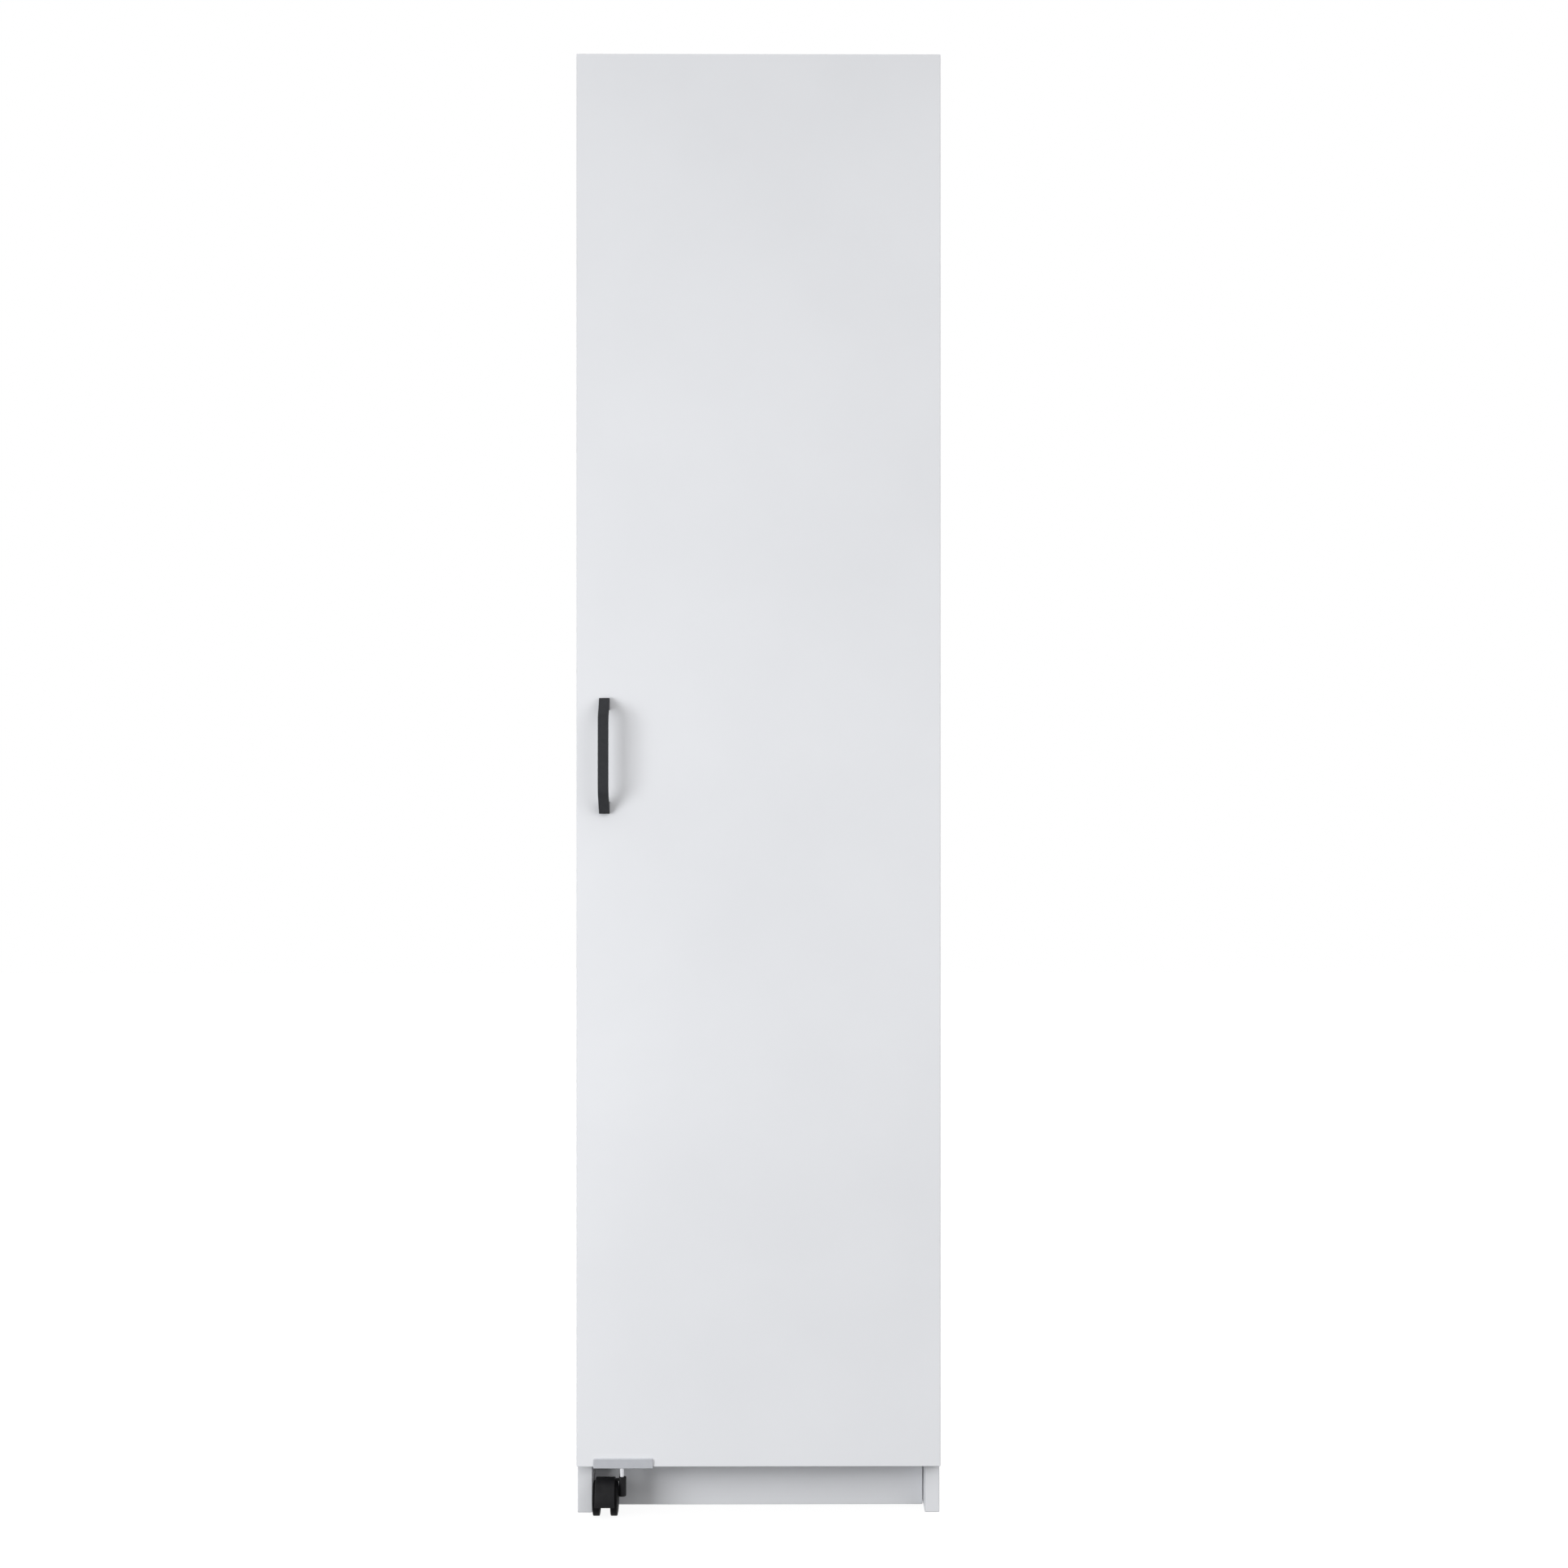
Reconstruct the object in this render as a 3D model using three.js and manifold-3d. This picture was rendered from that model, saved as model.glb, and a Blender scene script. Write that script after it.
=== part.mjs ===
// A tall broom cupboard of white board with one full-height door. The door hangs on four cup hinges
// at its right edge, carries a narrow rack on its back, and rolls on a twin-wheel castor under its
// free corner. Millimetres, +Z up, the front faces -Y. The origin is on the floor, at the middle of
// the cupboard's outer box.
import * as THREE from 'three';
import { mergeVertices } from 'three/addons/utils/BufferGeometryUtils.js';
import Module from 'manifold-3d';

const wasm = await Module();
wasm.setup();

// Driving dimensions of the cupboard
const cupboardWidth = 450;
const cupboardHeight = 1810;
const carcassDepth = 347;
const boardThickness = 18;
const backThickness = 3;
const plinthHeight = 64;
const plinthRecess = 32;
const doorGap = 2.5;
const seatGap = 0.2;
const topBayHeight = 170;
const middleBayHeight = 186;

// Driving dimensions of what the door carries
const doorTopReveal = 1;
const doorOverhang = 1.7;
const handleHoleSpacing = 128;
const handleWidth = 13;
const handleProjection = 30;
const handleHeight = 941;
const handleInset = 34.6;
const rackDepth = 100;
const rackFloor = 140;
const rackTopGap = 160;
const wheelRadius = 21.5;
const wheelWidth = 8.4;
const castorSideClearance = 1.1;

// Planes that the pieces share
const stripFlange = 0.9;
const rearStack = seatGap + backThickness + seatGap + stripFlange;
const overallDepth = handleProjection + boardThickness + doorGap + carcassDepth + rearStack;
const doorFrontY = handleProjection - overallDepth / 2;
const doorBackY = doorFrontY + boardThickness;
const carcassFrontY = doorBackY + doorGap;
const carcassBackY = carcassFrontY + carcassDepth;
const backRearY = carcassBackY + seatGap + backThickness;
const wallY = carcassBackY + rearStack;
const sideX = cupboardWidth / 2;
const innerX = sideX - boardThickness;
const doorBottom = plinthHeight - doorOverhang;
const doorTop = cupboardHeight - doorTopReveal;
const upperShelfHeight = cupboardHeight - 2 * boardThickness - topBayHeight;
const fixedShelfHeight = upperShelfHeight - boardThickness - middleBayHeight;
const rackHeight = fixedShelfHeight - rackTopGap - rackFloor;

// Allowances of the making, and how finely round pieces are drawn
const overrun = 1;
const weldTolerance = 0.0001;
const holeSides = 12;
const barSides = 28;
const wheelSides = 32;

const materials = {
  board: new THREE.MeshStandardMaterial({ color: 0xe9eaee, roughness: 0.45 }),
  backSheet: new THREE.MeshStandardMaterial({ color: 0xdedfe2, roughness: 0.6 }),
  blackMetal: new THREE.MeshStandardMaterial({ color: 0x3a3b3f, roughness: 0.5, metalness: 0.3 }),
  blackPlastic: new THREE.MeshStandardMaterial({ color: 0x1b1c1e, roughness: 0.5 }),
  greyMetal: new THREE.MeshStandardMaterial({ color: 0xb7b9be, roughness: 0.45, metalness: 0.2 }),
  zinc: new THREE.MeshStandardMaterial({ color: 0xc9c9c7, roughness: 0.3, metalness: 1 }),
  whitePlastic: new THREE.MeshStandardMaterial({ color: 0xeeeeec, roughness: 0.4 }),
};

// Makers of solids
const axisX = new THREE.Vector3(1, 0, 0);
const axisY = new THREE.Vector3(0, 1, 0);
const axisZ = new THREE.Vector3(0, 0, 1);

function solid(geometry) {
  const bare = geometry.index ? geometry.toNonIndexed() : geometry.clone();
  bare.deleteAttribute('normal');
  bare.deleteAttribute('uv');
  const merged = mergeVertices(bare, weldTolerance);
  return new wasm.Manifold(new wasm.Mesh({
    numProp: 3,
    vertProperties: merged.attributes.position.array,
    triVerts: new Uint32Array(merged.index.array),
  }));
}

function geometryOf(made) {
  const mesh = made.getMesh();
  const geometry = new THREE.BufferGeometry();
  geometry.setAttribute('position', new THREE.BufferAttribute(mesh.vertProperties, mesh.numProp));
  geometry.setIndex(new THREE.BufferAttribute(mesh.triVerts, 1));
  geometry.computeVertexNormals();
  return geometry;
}

function block([x0, x1], [y0, y1], [z0, z1]) {
  const box = new THREE.BoxGeometry(x1 - x0, y1 - y0, z1 - z0);
  return solid(box.translate((x0 + x1) / 2, (y0 + y1) / 2, (z0 + z1) / 2));
}

// A round bar from one point to another
function rod(radius, from, to, sides) {
  const start = new THREE.Vector3(...from);
  const along = new THREE.Vector3(...to).sub(start);
  const bar = new THREE.CylinderGeometry(radius, radius, along.length(), sides);
  bar.applyQuaternion(new THREE.Quaternion().setFromUnitVectors(axisY, along.clone().normalize()));
  const middle = start.addScaledVector(along, 1 / 2);
  return solid(bar.translate(middle.x, middle.y, middle.z));
}

// A turned piece: its profile is [radius, distance along the axis], and it starts and ends on the axis
function turned(profile, direction, sides) {
  const outline = profile.map(([radius, along]) => new THREE.Vector2(radius, along));
  const lathe = new THREE.LatheGeometry(outline, sides);
  lathe.applyQuaternion(new THREE.Quaternion().setFromUnitVectors(axisY, direction));
  return solid(lathe);
}

// An outline drawn as [y, z] and swept along X between two places
function sweptAlongX(outline, x0, x1) {
  const swept = new THREE.ExtrudeGeometry(outline, { depth: x1 - x0, bevelEnabled: false });
  swept.applyMatrix4(new THREE.Matrix4().makeBasis(axisY, axisZ, axisX));
  return solid(swept.translate(x0, 0, 0));
}

// An outline drawn as [x, y] and swept along Z between two places
function sweptAlongZ(outline, z0, z1) {
  const swept = new THREE.ExtrudeGeometry(outline, { depth: z1 - z0, bevelEnabled: false });
  return solid(swept.translate(0, 0, z0));
}

function polygon(points) {
  return new THREE.Shape(points.map(([u, v]) => new THREE.Vector2(u, v)));
}

// A bent flat strip of even thickness: the corners of its middle line are rounded
function bentStrip(corners, thickness, bendRadius, bendSteps) {
  const points = corners.map(([u, v]) => new THREE.Vector2(u, v));
  const line = [points[0]];
  for (let i = 1; i < points.length - 1; i += 1) {
    const back = points[i - 1].clone().sub(points[i]).normalize();
    const on = points[i + 1].clone().sub(points[i]).normalize();
    const curve = new THREE.QuadraticBezierCurve(
      points[i].clone().addScaledVector(back, bendRadius),
      points[i],
      points[i].clone().addScaledVector(on, bendRadius),
    );
    line.push(...curve.getPoints(bendSteps));
  }
  line.push(points[points.length - 1]);
  const sideOf = (sign) => line.map((point, i) => {
    const before = line[Math.max(i - 1, 0)];
    const after = line[Math.min(i + 1, line.length - 1)];
    const run = after.clone().sub(before).normalize();
    return new THREE.Vector2(-run.y, run.x).multiplyScalar(sign * thickness / 2).add(point);
  });
  return new THREE.Shape([...sideOf(-1), ...sideOf(1).reverse()]);
}

function place(parent, name, made, material, [x, y, z] = [0, 0, 0]) {
  const mesh = new THREE.Mesh(geometryOf(made), material);
  mesh.name = name;
  mesh.position.set(x, y, z);
  parent.add(mesh);
}

const cupboard = new THREE.Group();
const carcass = new THREE.Group();
const door = new THREE.Group();
cupboard.add(carcass, door);

// Hinges: the cup is let into the door's back, and the arm's swan neck reaches into it to the pin.
// A hinge is drawn about its pin, with +Y pointing into the cupboard.
const hingeCupRadius = 17.5;
const hingeCupWall = 0.8;
const hingeCupEdge = 3;
const hingeBoreClearance = 0.3;
const hingePinRadius = 1;
const hingePinClearance = 0.25;
const hingePinDepth = 8.7;
const hingeEyeRadius = 2;
const hingeEyeSideGap = 0.6;
const hingeEyeFloorGap = 0.5;
const hingeNeckWidth = 5.8;
const hingeNeckClearance = 0.5;
const hingeLugWidth = 3;
const hingeEndInset = 110;
const hingeCount = 4;
const hingeCupDepth = hingePinDepth + hingeEyeRadius + hingeEyeFloorGap + hingeCupWall;
const hingePinInset = hingeCupEdge + hingeCupWall + hingeEyeSideGap + hingeEyeRadius;
const hingeX = sideX - hingePinInset;
const cupX = hingePinInset - hingeCupEdge - hingeCupRadius;
const lugInner = hingeNeckWidth / 2 + hingeNeckClearance;
const hingeHeights = Array.from({ length: hingeCount }, (unused, i) => {
  const pitch = (doorTop - doorBottom - 2 * hingeEndInset) / (hingeCount - 1);
  return doorBottom + hingeEndInset + i * pitch;
});

function hingeCup() {
  const flangeThickness = 1.2;
  const flangeHeight = 58;
  const flangeWidth = 22;
  const lugReach = 2.8;
  const floorY = hingePinDepth - hingeCupDepth;
  const flangeY = hingePinDepth + seatGap;
  const top = flangeY + flangeThickness;
  const flange = block(
    [cupX - flangeWidth / 2, cupX + flangeWidth / 2],
    [flangeY, top],
    [-flangeHeight / 2, flangeHeight / 2],
  );
  const shell = rod(hingeCupRadius, [cupX, floorY, 0], [cupX, top, 0], barSides);
  const pocket = rod(
    hingeCupRadius - hingeCupWall,
    [cupX, floorY + hingeCupWall, 0],
    [cupX, top + overrun, 0],
    barSides,
  );
  const lug = (side) => block(
    [-lugReach, hingePinInset],
    [floorY + hingeCupWall / 2, hingeEyeRadius],
    side > 0 ? [lugInner, lugInner + hingeLugWidth] : [-lugInner - hingeLugWidth, -lugInner],
  ).intersect(shell);
  const pinHoleEnd = lugInner + hingeLugWidth + overrun;
  const pinHole = rod(
    hingePinRadius + hingePinClearance,
    [0, 0, -pinHoleEnd],
    [0, 0, pinHoleEnd],
    holeSides,
  );
  return flange.add(shell).subtract(pocket).add(lug(1)).add(lug(-1)).subtract(pinHole);
}

function hingePin() {
  const reach = lugInner + hingeLugWidth - hingePinClearance;
  return rod(hingePinRadius, [0, 0, -reach], [0, 0, reach], holeSides);
}

const armWidth = 13;
const armLength = 58;
const armWall = 1.6;
const armCheek = 7.5;
const armRise = 12.4;
const armStart = 7;
const plateSetback = 37;
const armFaceX = innerX - hingeX - armRise;
const armY = doorGap + hingePinDepth + armStart;

function hingeArm() {
  const neckRun = 15.2;
  const bendRadius = 3.5;
  const bendSteps = 4;
  const halfNeck = hingeNeckWidth / 2;
  const halfArm = armWidth / 2;
  const webX = armFaceX + armWall / 2;
  const mouthY = doorGap + hingePinDepth;
  const strip = bentStrip([
    [0, 0],
    [-neckRun, 0],
    [-neckRun, mouthY],
    [webX, armY + bendRadius],
    [webX, armY + 2 * armStart],
  ], armWall, bendRadius, bendSteps);
  const waist = polygon([
    [-armStart, -halfNeck],
    [hingePinDepth, -halfNeck],
    [armY, -halfArm],
    [armY + armLength, -halfArm],
    [armY + armLength, halfArm],
    [armY, halfArm],
    [hingePinDepth, halfNeck],
    [-armStart, halfNeck],
  ]);
  const neck = sweptAlongZ(strip, -halfArm, halfArm)
    .intersect(sweptAlongX(waist, armFaceX - armRise, armRise));
  const eye = rod(hingeEyeRadius, [0, 0, -halfNeck], [0, 0, halfNeck], barSides / 2);
  const eyeHole = rod(
    hingePinRadius + hingePinClearance,
    [0, 0, -halfArm],
    [0, 0, halfArm],
    holeSides,
  );
  const channel = block([armFaceX, armFaceX + armCheek], [armY, armY + armLength], [-halfArm, halfArm])
    .subtract(block(
      [armFaceX + armWall, armFaceX + armCheek + overrun],
      [armY - overrun, armY + armLength + overrun],
      [-halfArm + armWall, halfArm - armWall],
    ));
  return neck.add(eye).add(channel).subtract(eyeHole);
}

function hingePlate() {
  const wingHeight = 46;
  const wingWidth = 15;
  const wingThickness = 2;
  const screwSpacing = 32;
  const screwHole = 2.6;
  const coreClearance = 0.3;
  const coreLength = 38;
  const plateX = innerX - hingeX - seatGap;
  const middleY = doorGap + hingePinDepth + plateSetback;
  const coreHalf = armWidth / 2 - armWall - coreClearance;
  const core = block(
    [armFaceX + armWall + coreClearance, plateX],
    [middleY - coreLength / 2, middleY + coreLength / 2],
    [-coreHalf, coreHalf],
  );
  const wings = block(
    [plateX - wingThickness, plateX],
    [middleY - wingWidth / 2, middleY + wingWidth / 2],
    [-wingHeight / 2, wingHeight / 2],
  );
  const hole = (z) => rod(
    screwHole,
    [plateX - wingThickness - overrun, middleY, z],
    [plateX + overrun, middleY, z],
    holeSides,
  );
  return core.add(wings).subtract(hole(screwSpacing / 2)).subtract(hole(-screwSpacing / 2));
}

function addHinges() {
  const onDoor = boardThickness - hingePinDepth;
  hingeHeights.forEach((height, i) => {
    place(door, `hinge_cup_${i + 1}`, hingeCup(), materials.zinc, [hingeX, onDoor, height]);
    place(door, `hinge_pin_${i + 1}`, hingePin(), materials.zinc, [hingeX, onDoor, height]);
    const onCarcass = [hingeX, doorFrontY + onDoor, height];
    place(carcass, `hinge_arm_${i + 1}`, hingeArm(), materials.zinc, onCarcass);
    place(carcass, `hinge_plate_${i + 1}`, hingePlate(), materials.zinc, onCarcass);
  });
}

// Adjustable shelf and its pins
const shelfSetback = 6;
const shelfSideGap = 1;
const pinRadius = 2.5;
const pinNoseRadius = 3.5;
const pinNoseLength = 8;
const pinDepth = 9;
const pinBoreClearance = 0.3;
const pinBoreSides = 10;
const pinFrontInset = 45;
const pinRearInset = 55;
const pinPitch = 32;
const pinHeight = upperShelfHeight - seatGap - pinNoseRadius;
const pinRows = [carcassFrontY + pinFrontInset, carcassBackY - pinRearInset];

function shelfPin(side) {
  const profile = [
    [0, -pinDepth],
    [pinRadius, -pinDepth],
    [pinRadius, 0],
    [pinNoseRadius, 0],
    [pinNoseRadius, pinNoseLength],
    [0, pinNoseLength],
  ];
  return turned(profile, axisX.clone().multiplyScalar(-side), holeSides);
}

function addUpperShelf() {
  const x = innerX - shelfSideGap;
  const made = block(
    [-x, x],
    [carcassFrontY + shelfSetback, carcassBackY - shelfSideGap],
    [upperShelfHeight, upperShelfHeight + boardThickness],
  );
  place(carcass, 'upper_shelf', made, materials.board);
  [-1, 1].forEach((side) => pinRows.forEach((y, row) => {
    const name = `shelf_pin_${side < 0 ? 'left' : 'right'}_${row ? 'rear' : 'front'}`;
    place(carcass, name, shelfPin(side), materials.zinc, [side * (innerX - seatGap), y, pinHeight]);
  }));
}

// Carcass boards
function sidePanel(side) {
  const outer = side * sideX;
  const inner = side * innerX;
  let panel = block(
    [Math.min(outer, inner), Math.max(outer, inner)],
    [carcassFrontY, carcassBackY],
    [0, cupboardHeight - boardThickness - seatGap],
  );
  const boreDepth = pinDepth + pinBoreClearance;
  pinRows.forEach((y) => [-1, 0, 1].forEach((step) => {
    const z = pinHeight + step * pinPitch;
    panel = panel.subtract(rod(
      pinRadius + pinBoreClearance,
      [inner - side * overrun, y, z],
      [inner + side * boreDepth, y, z],
      pinBoreSides,
    ));
  }));
  return panel;
}

const bottomSetback = 3;
const plinthLift = 1;

function addCarcassBoards() {
  const between = [-innerX + seatGap, innerX - seatGap];
  const depth = [carcassFrontY, carcassBackY];
  place(carcass, 'left_side', sidePanel(-1), materials.board);
  place(carcass, 'right_side', sidePanel(1), materials.board);
  const top = block([-sideX, sideX], depth, [cupboardHeight - boardThickness, cupboardHeight]);
  place(carcass, 'top_panel', top, materials.board);
  const bottomDepth = [carcassFrontY + bottomSetback, carcassBackY];
  const bottom = block(between, bottomDepth, [plinthHeight, plinthHeight + boardThickness]);
  place(carcass, 'bottom_panel', bottom, materials.board);
  const plinthFront = carcassFrontY + plinthRecess;
  const plinth = block(
    between,
    [plinthFront, plinthFront + boardThickness],
    [plinthLift, plinthHeight - seatGap],
  );
  place(carcass, 'plinth', plinth, materials.board);
  const shelfDepth = [carcassFrontY + shelfSetback, carcassBackY];
  const shelf = block(between, shelfDepth, [fixedShelfHeight, fixedShelfHeight + boardThickness]);
  place(carcass, 'fixed_shelf', shelf, materials.board);
}

// Back: two thin sheets nailed over the rear edges, joined by a plastic H strip
const backInset = 2;
const backJointHeight = 930;
const stripWeb = 1.2;
const stripHeight = 24;

function addBack() {
  const x = sideX - backInset;
  const sheetY = [carcassBackY + seatGap, backRearY];
  const jointHalf = stripWeb / 2 + seatGap;
  const lower = block([-x, x], sheetY, [plinthHeight, backJointHeight - jointHalf]);
  const upper = block([-x, x], sheetY, [backJointHeight + jointHalf, cupboardHeight - backInset]);
  place(carcass, 'back_lower', lower, materials.backSheet);
  place(carcass, 'back_upper', upper, materials.backSheet);
  const front = carcassBackY - stripFlange;
  const rear = backRearY + seatGap + stripFlange;
  const flangeHalf = stripHeight / 2;
  const webHalf = stripWeb / 2;
  const outline = polygon([
    [front, -flangeHalf], [front + stripFlange, -flangeHalf], [front + stripFlange, -webHalf],
    [rear - stripFlange, -webHalf], [rear - stripFlange, -flangeHalf], [rear, -flangeHalf],
    [rear, flangeHalf], [rear - stripFlange, flangeHalf], [rear - stripFlange, webHalf],
    [front + stripFlange, webHalf], [front + stripFlange, flangeHalf], [front, flangeHalf],
  ]);
  const strip = sweptAlongX(outline, -innerX + seatGap, innerX - seatGap);
  place(carcass, 'back_joint_strip', strip, materials.whitePlastic, [0, 0, backJointHeight]);
}

// Hook rail under the fixed shelf, with three broom hooks
const hookRailHeight = 80;
const hookSpacing = 125;
const hookWidth = 16;
const hookThickness = 3.2;
const hookReach = 55;
const hookRise = 26;
const hookPlateHeight = 56;
const hookBend = 8;
const hookBendSteps = 5;

function broomHook() {
  const armZ = -hookPlateHeight / 4;
  const arm = bentStrip(
    [[-hookThickness / 2, armZ], [-hookReach, armZ], [-hookReach, armZ + hookRise]],
    hookThickness,
    hookBend,
    hookBendSteps,
  );
  const plate = block(
    [-hookWidth / 2, hookWidth / 2],
    [-hookThickness, 0],
    [-hookPlateHeight / 2, hookPlateHeight / 2],
  );
  return sweptAlongX(arm, -hookWidth / 2, hookWidth / 2).add(plate);
}

function addHookRail() {
  const top = fixedShelfHeight - seatGap;
  const rail = block(
    [-innerX + seatGap, innerX - seatGap],
    [carcassBackY - boardThickness, carcassBackY],
    [top - hookRailHeight, top],
  );
  place(carcass, 'hook_rail', rail, materials.board);
  [-1, 0, 1].forEach((step, i) => {
    const spot = [step * hookSpacing, carcassBackY - boardThickness - seatGap, top - hookRailHeight / 2];
    place(carcass, `broom_hook_${i + 1}`, broomHook(), materials.blackMetal, spot);
  });
}

// Angle bracket that ties the top to the wall
const wallBracketLeg = 25;
const wallBracketWidth = 40;
const wallBracketThickness = 2;
const wallBracketHole = 2.5;
const wallBracketInset = 135;

function wallBracket() {
  const half = wallBracketWidth / 2;
  const flat = block([-half, half], [-wallBracketLeg, 0], [0, wallBracketThickness]);
  const upright = block([-half, half], [-wallBracketThickness, 0], [0, wallBracketLeg]);
  const middle = wallBracketLeg / 2 + wallBracketThickness / 2;
  const deep = wallBracketThickness + overrun;
  const holes = [-half / 2, half / 2].map((x) => [
    rod(wallBracketHole, [x, -middle, -overrun], [x, -middle, deep], holeSides),
    rod(wallBracketHole, [x, -deep, middle], [x, overrun, middle], holeSides),
  ]).flat();
  return holes.reduce((made, hole) => made.subtract(hole), flat.add(upright));
}

function addWallBracket() {
  const spot = [sideX - wallBracketInset, wallY, cupboardHeight + seatGap];
  place(carcass, 'wall_bracket', wallBracket(), materials.zinc, spot);
}

// Places of the handle and the castor on the door. The stem stands beside the wheels, as near as the
// wall of its socket lets it.
const screwRadius = 2;
const screwClearance = 0.3;
const stemRadius = 3;
const stemClearance = 0.3;
const spigotRadius = 2.2;
const stemInDoor = 30;
const wheelGap = 13.4;
const wheelPlay = 0.5;
const domeHeight = 1.2;
const socketWall = 0.8;
const wheelStack = wheelGap / 2 + wheelWidth + domeHeight;
const castorX = -innerX + castorSideClearance + wheelStack;
const socketFlat = wheelStack + wheelPlay;
const stemOffset = socketFlat + socketWall + stemClearance + spigotRadius;
const stemX = castorX + stemOffset;
const castorY = boardThickness / 2;
const shoeOffset = 2.1;
const shoeX = stemX + shoeOffset;
const shoeGrip = 10.9;
const shoeScrewSpacing = 50;
const shoeScrewRadius = 1.75;
const shoeScrewLength = 12;
const shoeScrewHeight = doorBottom + shoeGrip / 2;
const handleX = -sideX + handleInset;

// Door panel with the bores for its cups, handle screws, castor stem and castor screws
function doorPanel() {
  let panel = block([-sideX, sideX], [0, boardThickness], [doorBottom, doorTop]);
  hingeHeights.forEach((height) => {
    const x = hingeX + cupX;
    const bore = rod(
      hingeCupRadius + hingeBoreClearance,
      [x, boardThickness - hingeCupDepth - hingeBoreClearance, height],
      [x, boardThickness + overrun, height],
      barSides,
    );
    panel = panel.subtract(bore);
  });
  [-1, 1].forEach((end) => {
    const z = handleHeight + end * handleHoleSpacing / 2;
    panel = panel.subtract(rod(
      screwRadius + screwClearance,
      [handleX, -overrun, z],
      [handleX, boardThickness + overrun, z],
      holeSides,
    ));
  });
  const stemBore = rod(
    stemRadius + stemClearance,
    [stemX, castorY, doorBottom - overrun],
    [stemX, castorY, doorBottom + stemInDoor + stemClearance],
    holeSides,
  );
  const screwBores = [-1, 1].map((side) => {
    const x = shoeX + side * shoeScrewSpacing / 2;
    return rod(
      shoeScrewRadius + screwClearance,
      [x, boardThickness - shoeScrewLength - screwClearance, shoeScrewHeight],
      [x, boardThickness + overrun, shoeScrewHeight],
      holeSides,
    );
  });
  return screwBores.reduce((made, bore) => made.subtract(bore), panel.subtract(stemBore));
}

// Bow handle: legs slant at half a right angle from its feet to a straight grip
const gripThickness = 5;
const handleFoot = 15;
const handleLength = handleHoleSpacing + handleFoot;
const handleEndRise = 5;
const handleFillet = 8;
const handleFilletSteps = 5;
const handleSocketDepth = 9;

function bowHandle() {
  const half = handleLength / 2;
  const grip = handleProjection - gripThickness;
  const legThickness = gripThickness * Math.SQRT2;
  const outerAt = (y) => half + handleEndRise - y;
  const innerAt = (y) => outerAt(y) - legThickness;
  const innerFoot = half - handleFoot;
  const bossRise = outerAt(innerFoot + legThickness);
  const rounded = (corner, before, after) => {
    const pull = (end) => corner.clone().addScaledVector(end.clone().sub(corner).normalize(), handleFillet);
    return new THREE.QuadraticBezierCurve(pull(before), corner, pull(after)).getPoints(handleFilletSteps);
  };
  const at = (y, z) => new THREE.Vector2(-y, z);
  const upper = [
    ...rounded(at(grip, innerAt(grip)), at(grip, 0), at(bossRise, innerFoot)),
    at(bossRise, innerFoot),
    at(seatGap, innerFoot),
    at(seatGap, half),
    at(handleEndRise, half),
    ...rounded(
      at(handleProjection, outerAt(handleProjection)),
      at(handleEndRise, half),
      at(handleProjection, 0),
    ),
  ];
  const lower = upper.map((point) => new THREE.Vector2(point.x, -point.y)).reverse();
  const bow = sweptAlongX(new THREE.Shape([...upper, ...lower]), -handleWidth / 2, handleWidth / 2);
  const socket = (end) => rod(
    screwRadius + screwClearance,
    [0, -handleSocketDepth, end * handleHoleSpacing / 2],
    [0, overrun, end * handleHoleSpacing / 2],
    holeSides,
  );
  return bow.subtract(socket(1)).subtract(socket(-1));
}

function panScrew(headRadius, headHeight, shankRadius, shankLength, direction) {
  const crownShare = 0.6;
  const profile = [
    [0, -shankLength],
    [shankRadius, -shankLength],
    [shankRadius, 0],
    [headRadius, 0],
    [headRadius, headHeight / 2],
    [headRadius * crownShare, headHeight],
    [0, headHeight],
  ];
  return turned(profile, direction, holeSides);
}

function addHandle() {
  const headRadius = 4;
  const headHeight = 2;
  const tipGap = 1;
  const shank = boardThickness + seatGap + handleSocketDepth - tipGap;
  place(door, 'handle', bowHandle(), materials.blackMetal, [handleX, 0, handleHeight]);
  [-1, 1].forEach((end, i) => {
    const spot = [handleX, boardThickness + seatGap, handleHeight + end * handleHoleSpacing / 2];
    const screw = panScrew(headRadius, headHeight, screwRadius, shank, axisY);
    place(door, `handle_screw_${i + 1}`, screw, materials.zinc, spot);
  });
}

// Rack on the door's back: two uprights, three trays and their rails, held by steel angles
const rackBoard = 12;
const rackSideGap = 23;
const rackHingeGap = 54;
const rackWidth = 2 * innerX - rackSideGap - rackHingeGap;
const trayCount = 3;
const trayRailHeight = 60;
const trayRailLift = 28;
const rackAngleLeg = 14;
const rackAngleHeight = 22;
const rackAngleWall = 1.5;
const rackAngleInset = 170;

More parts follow.
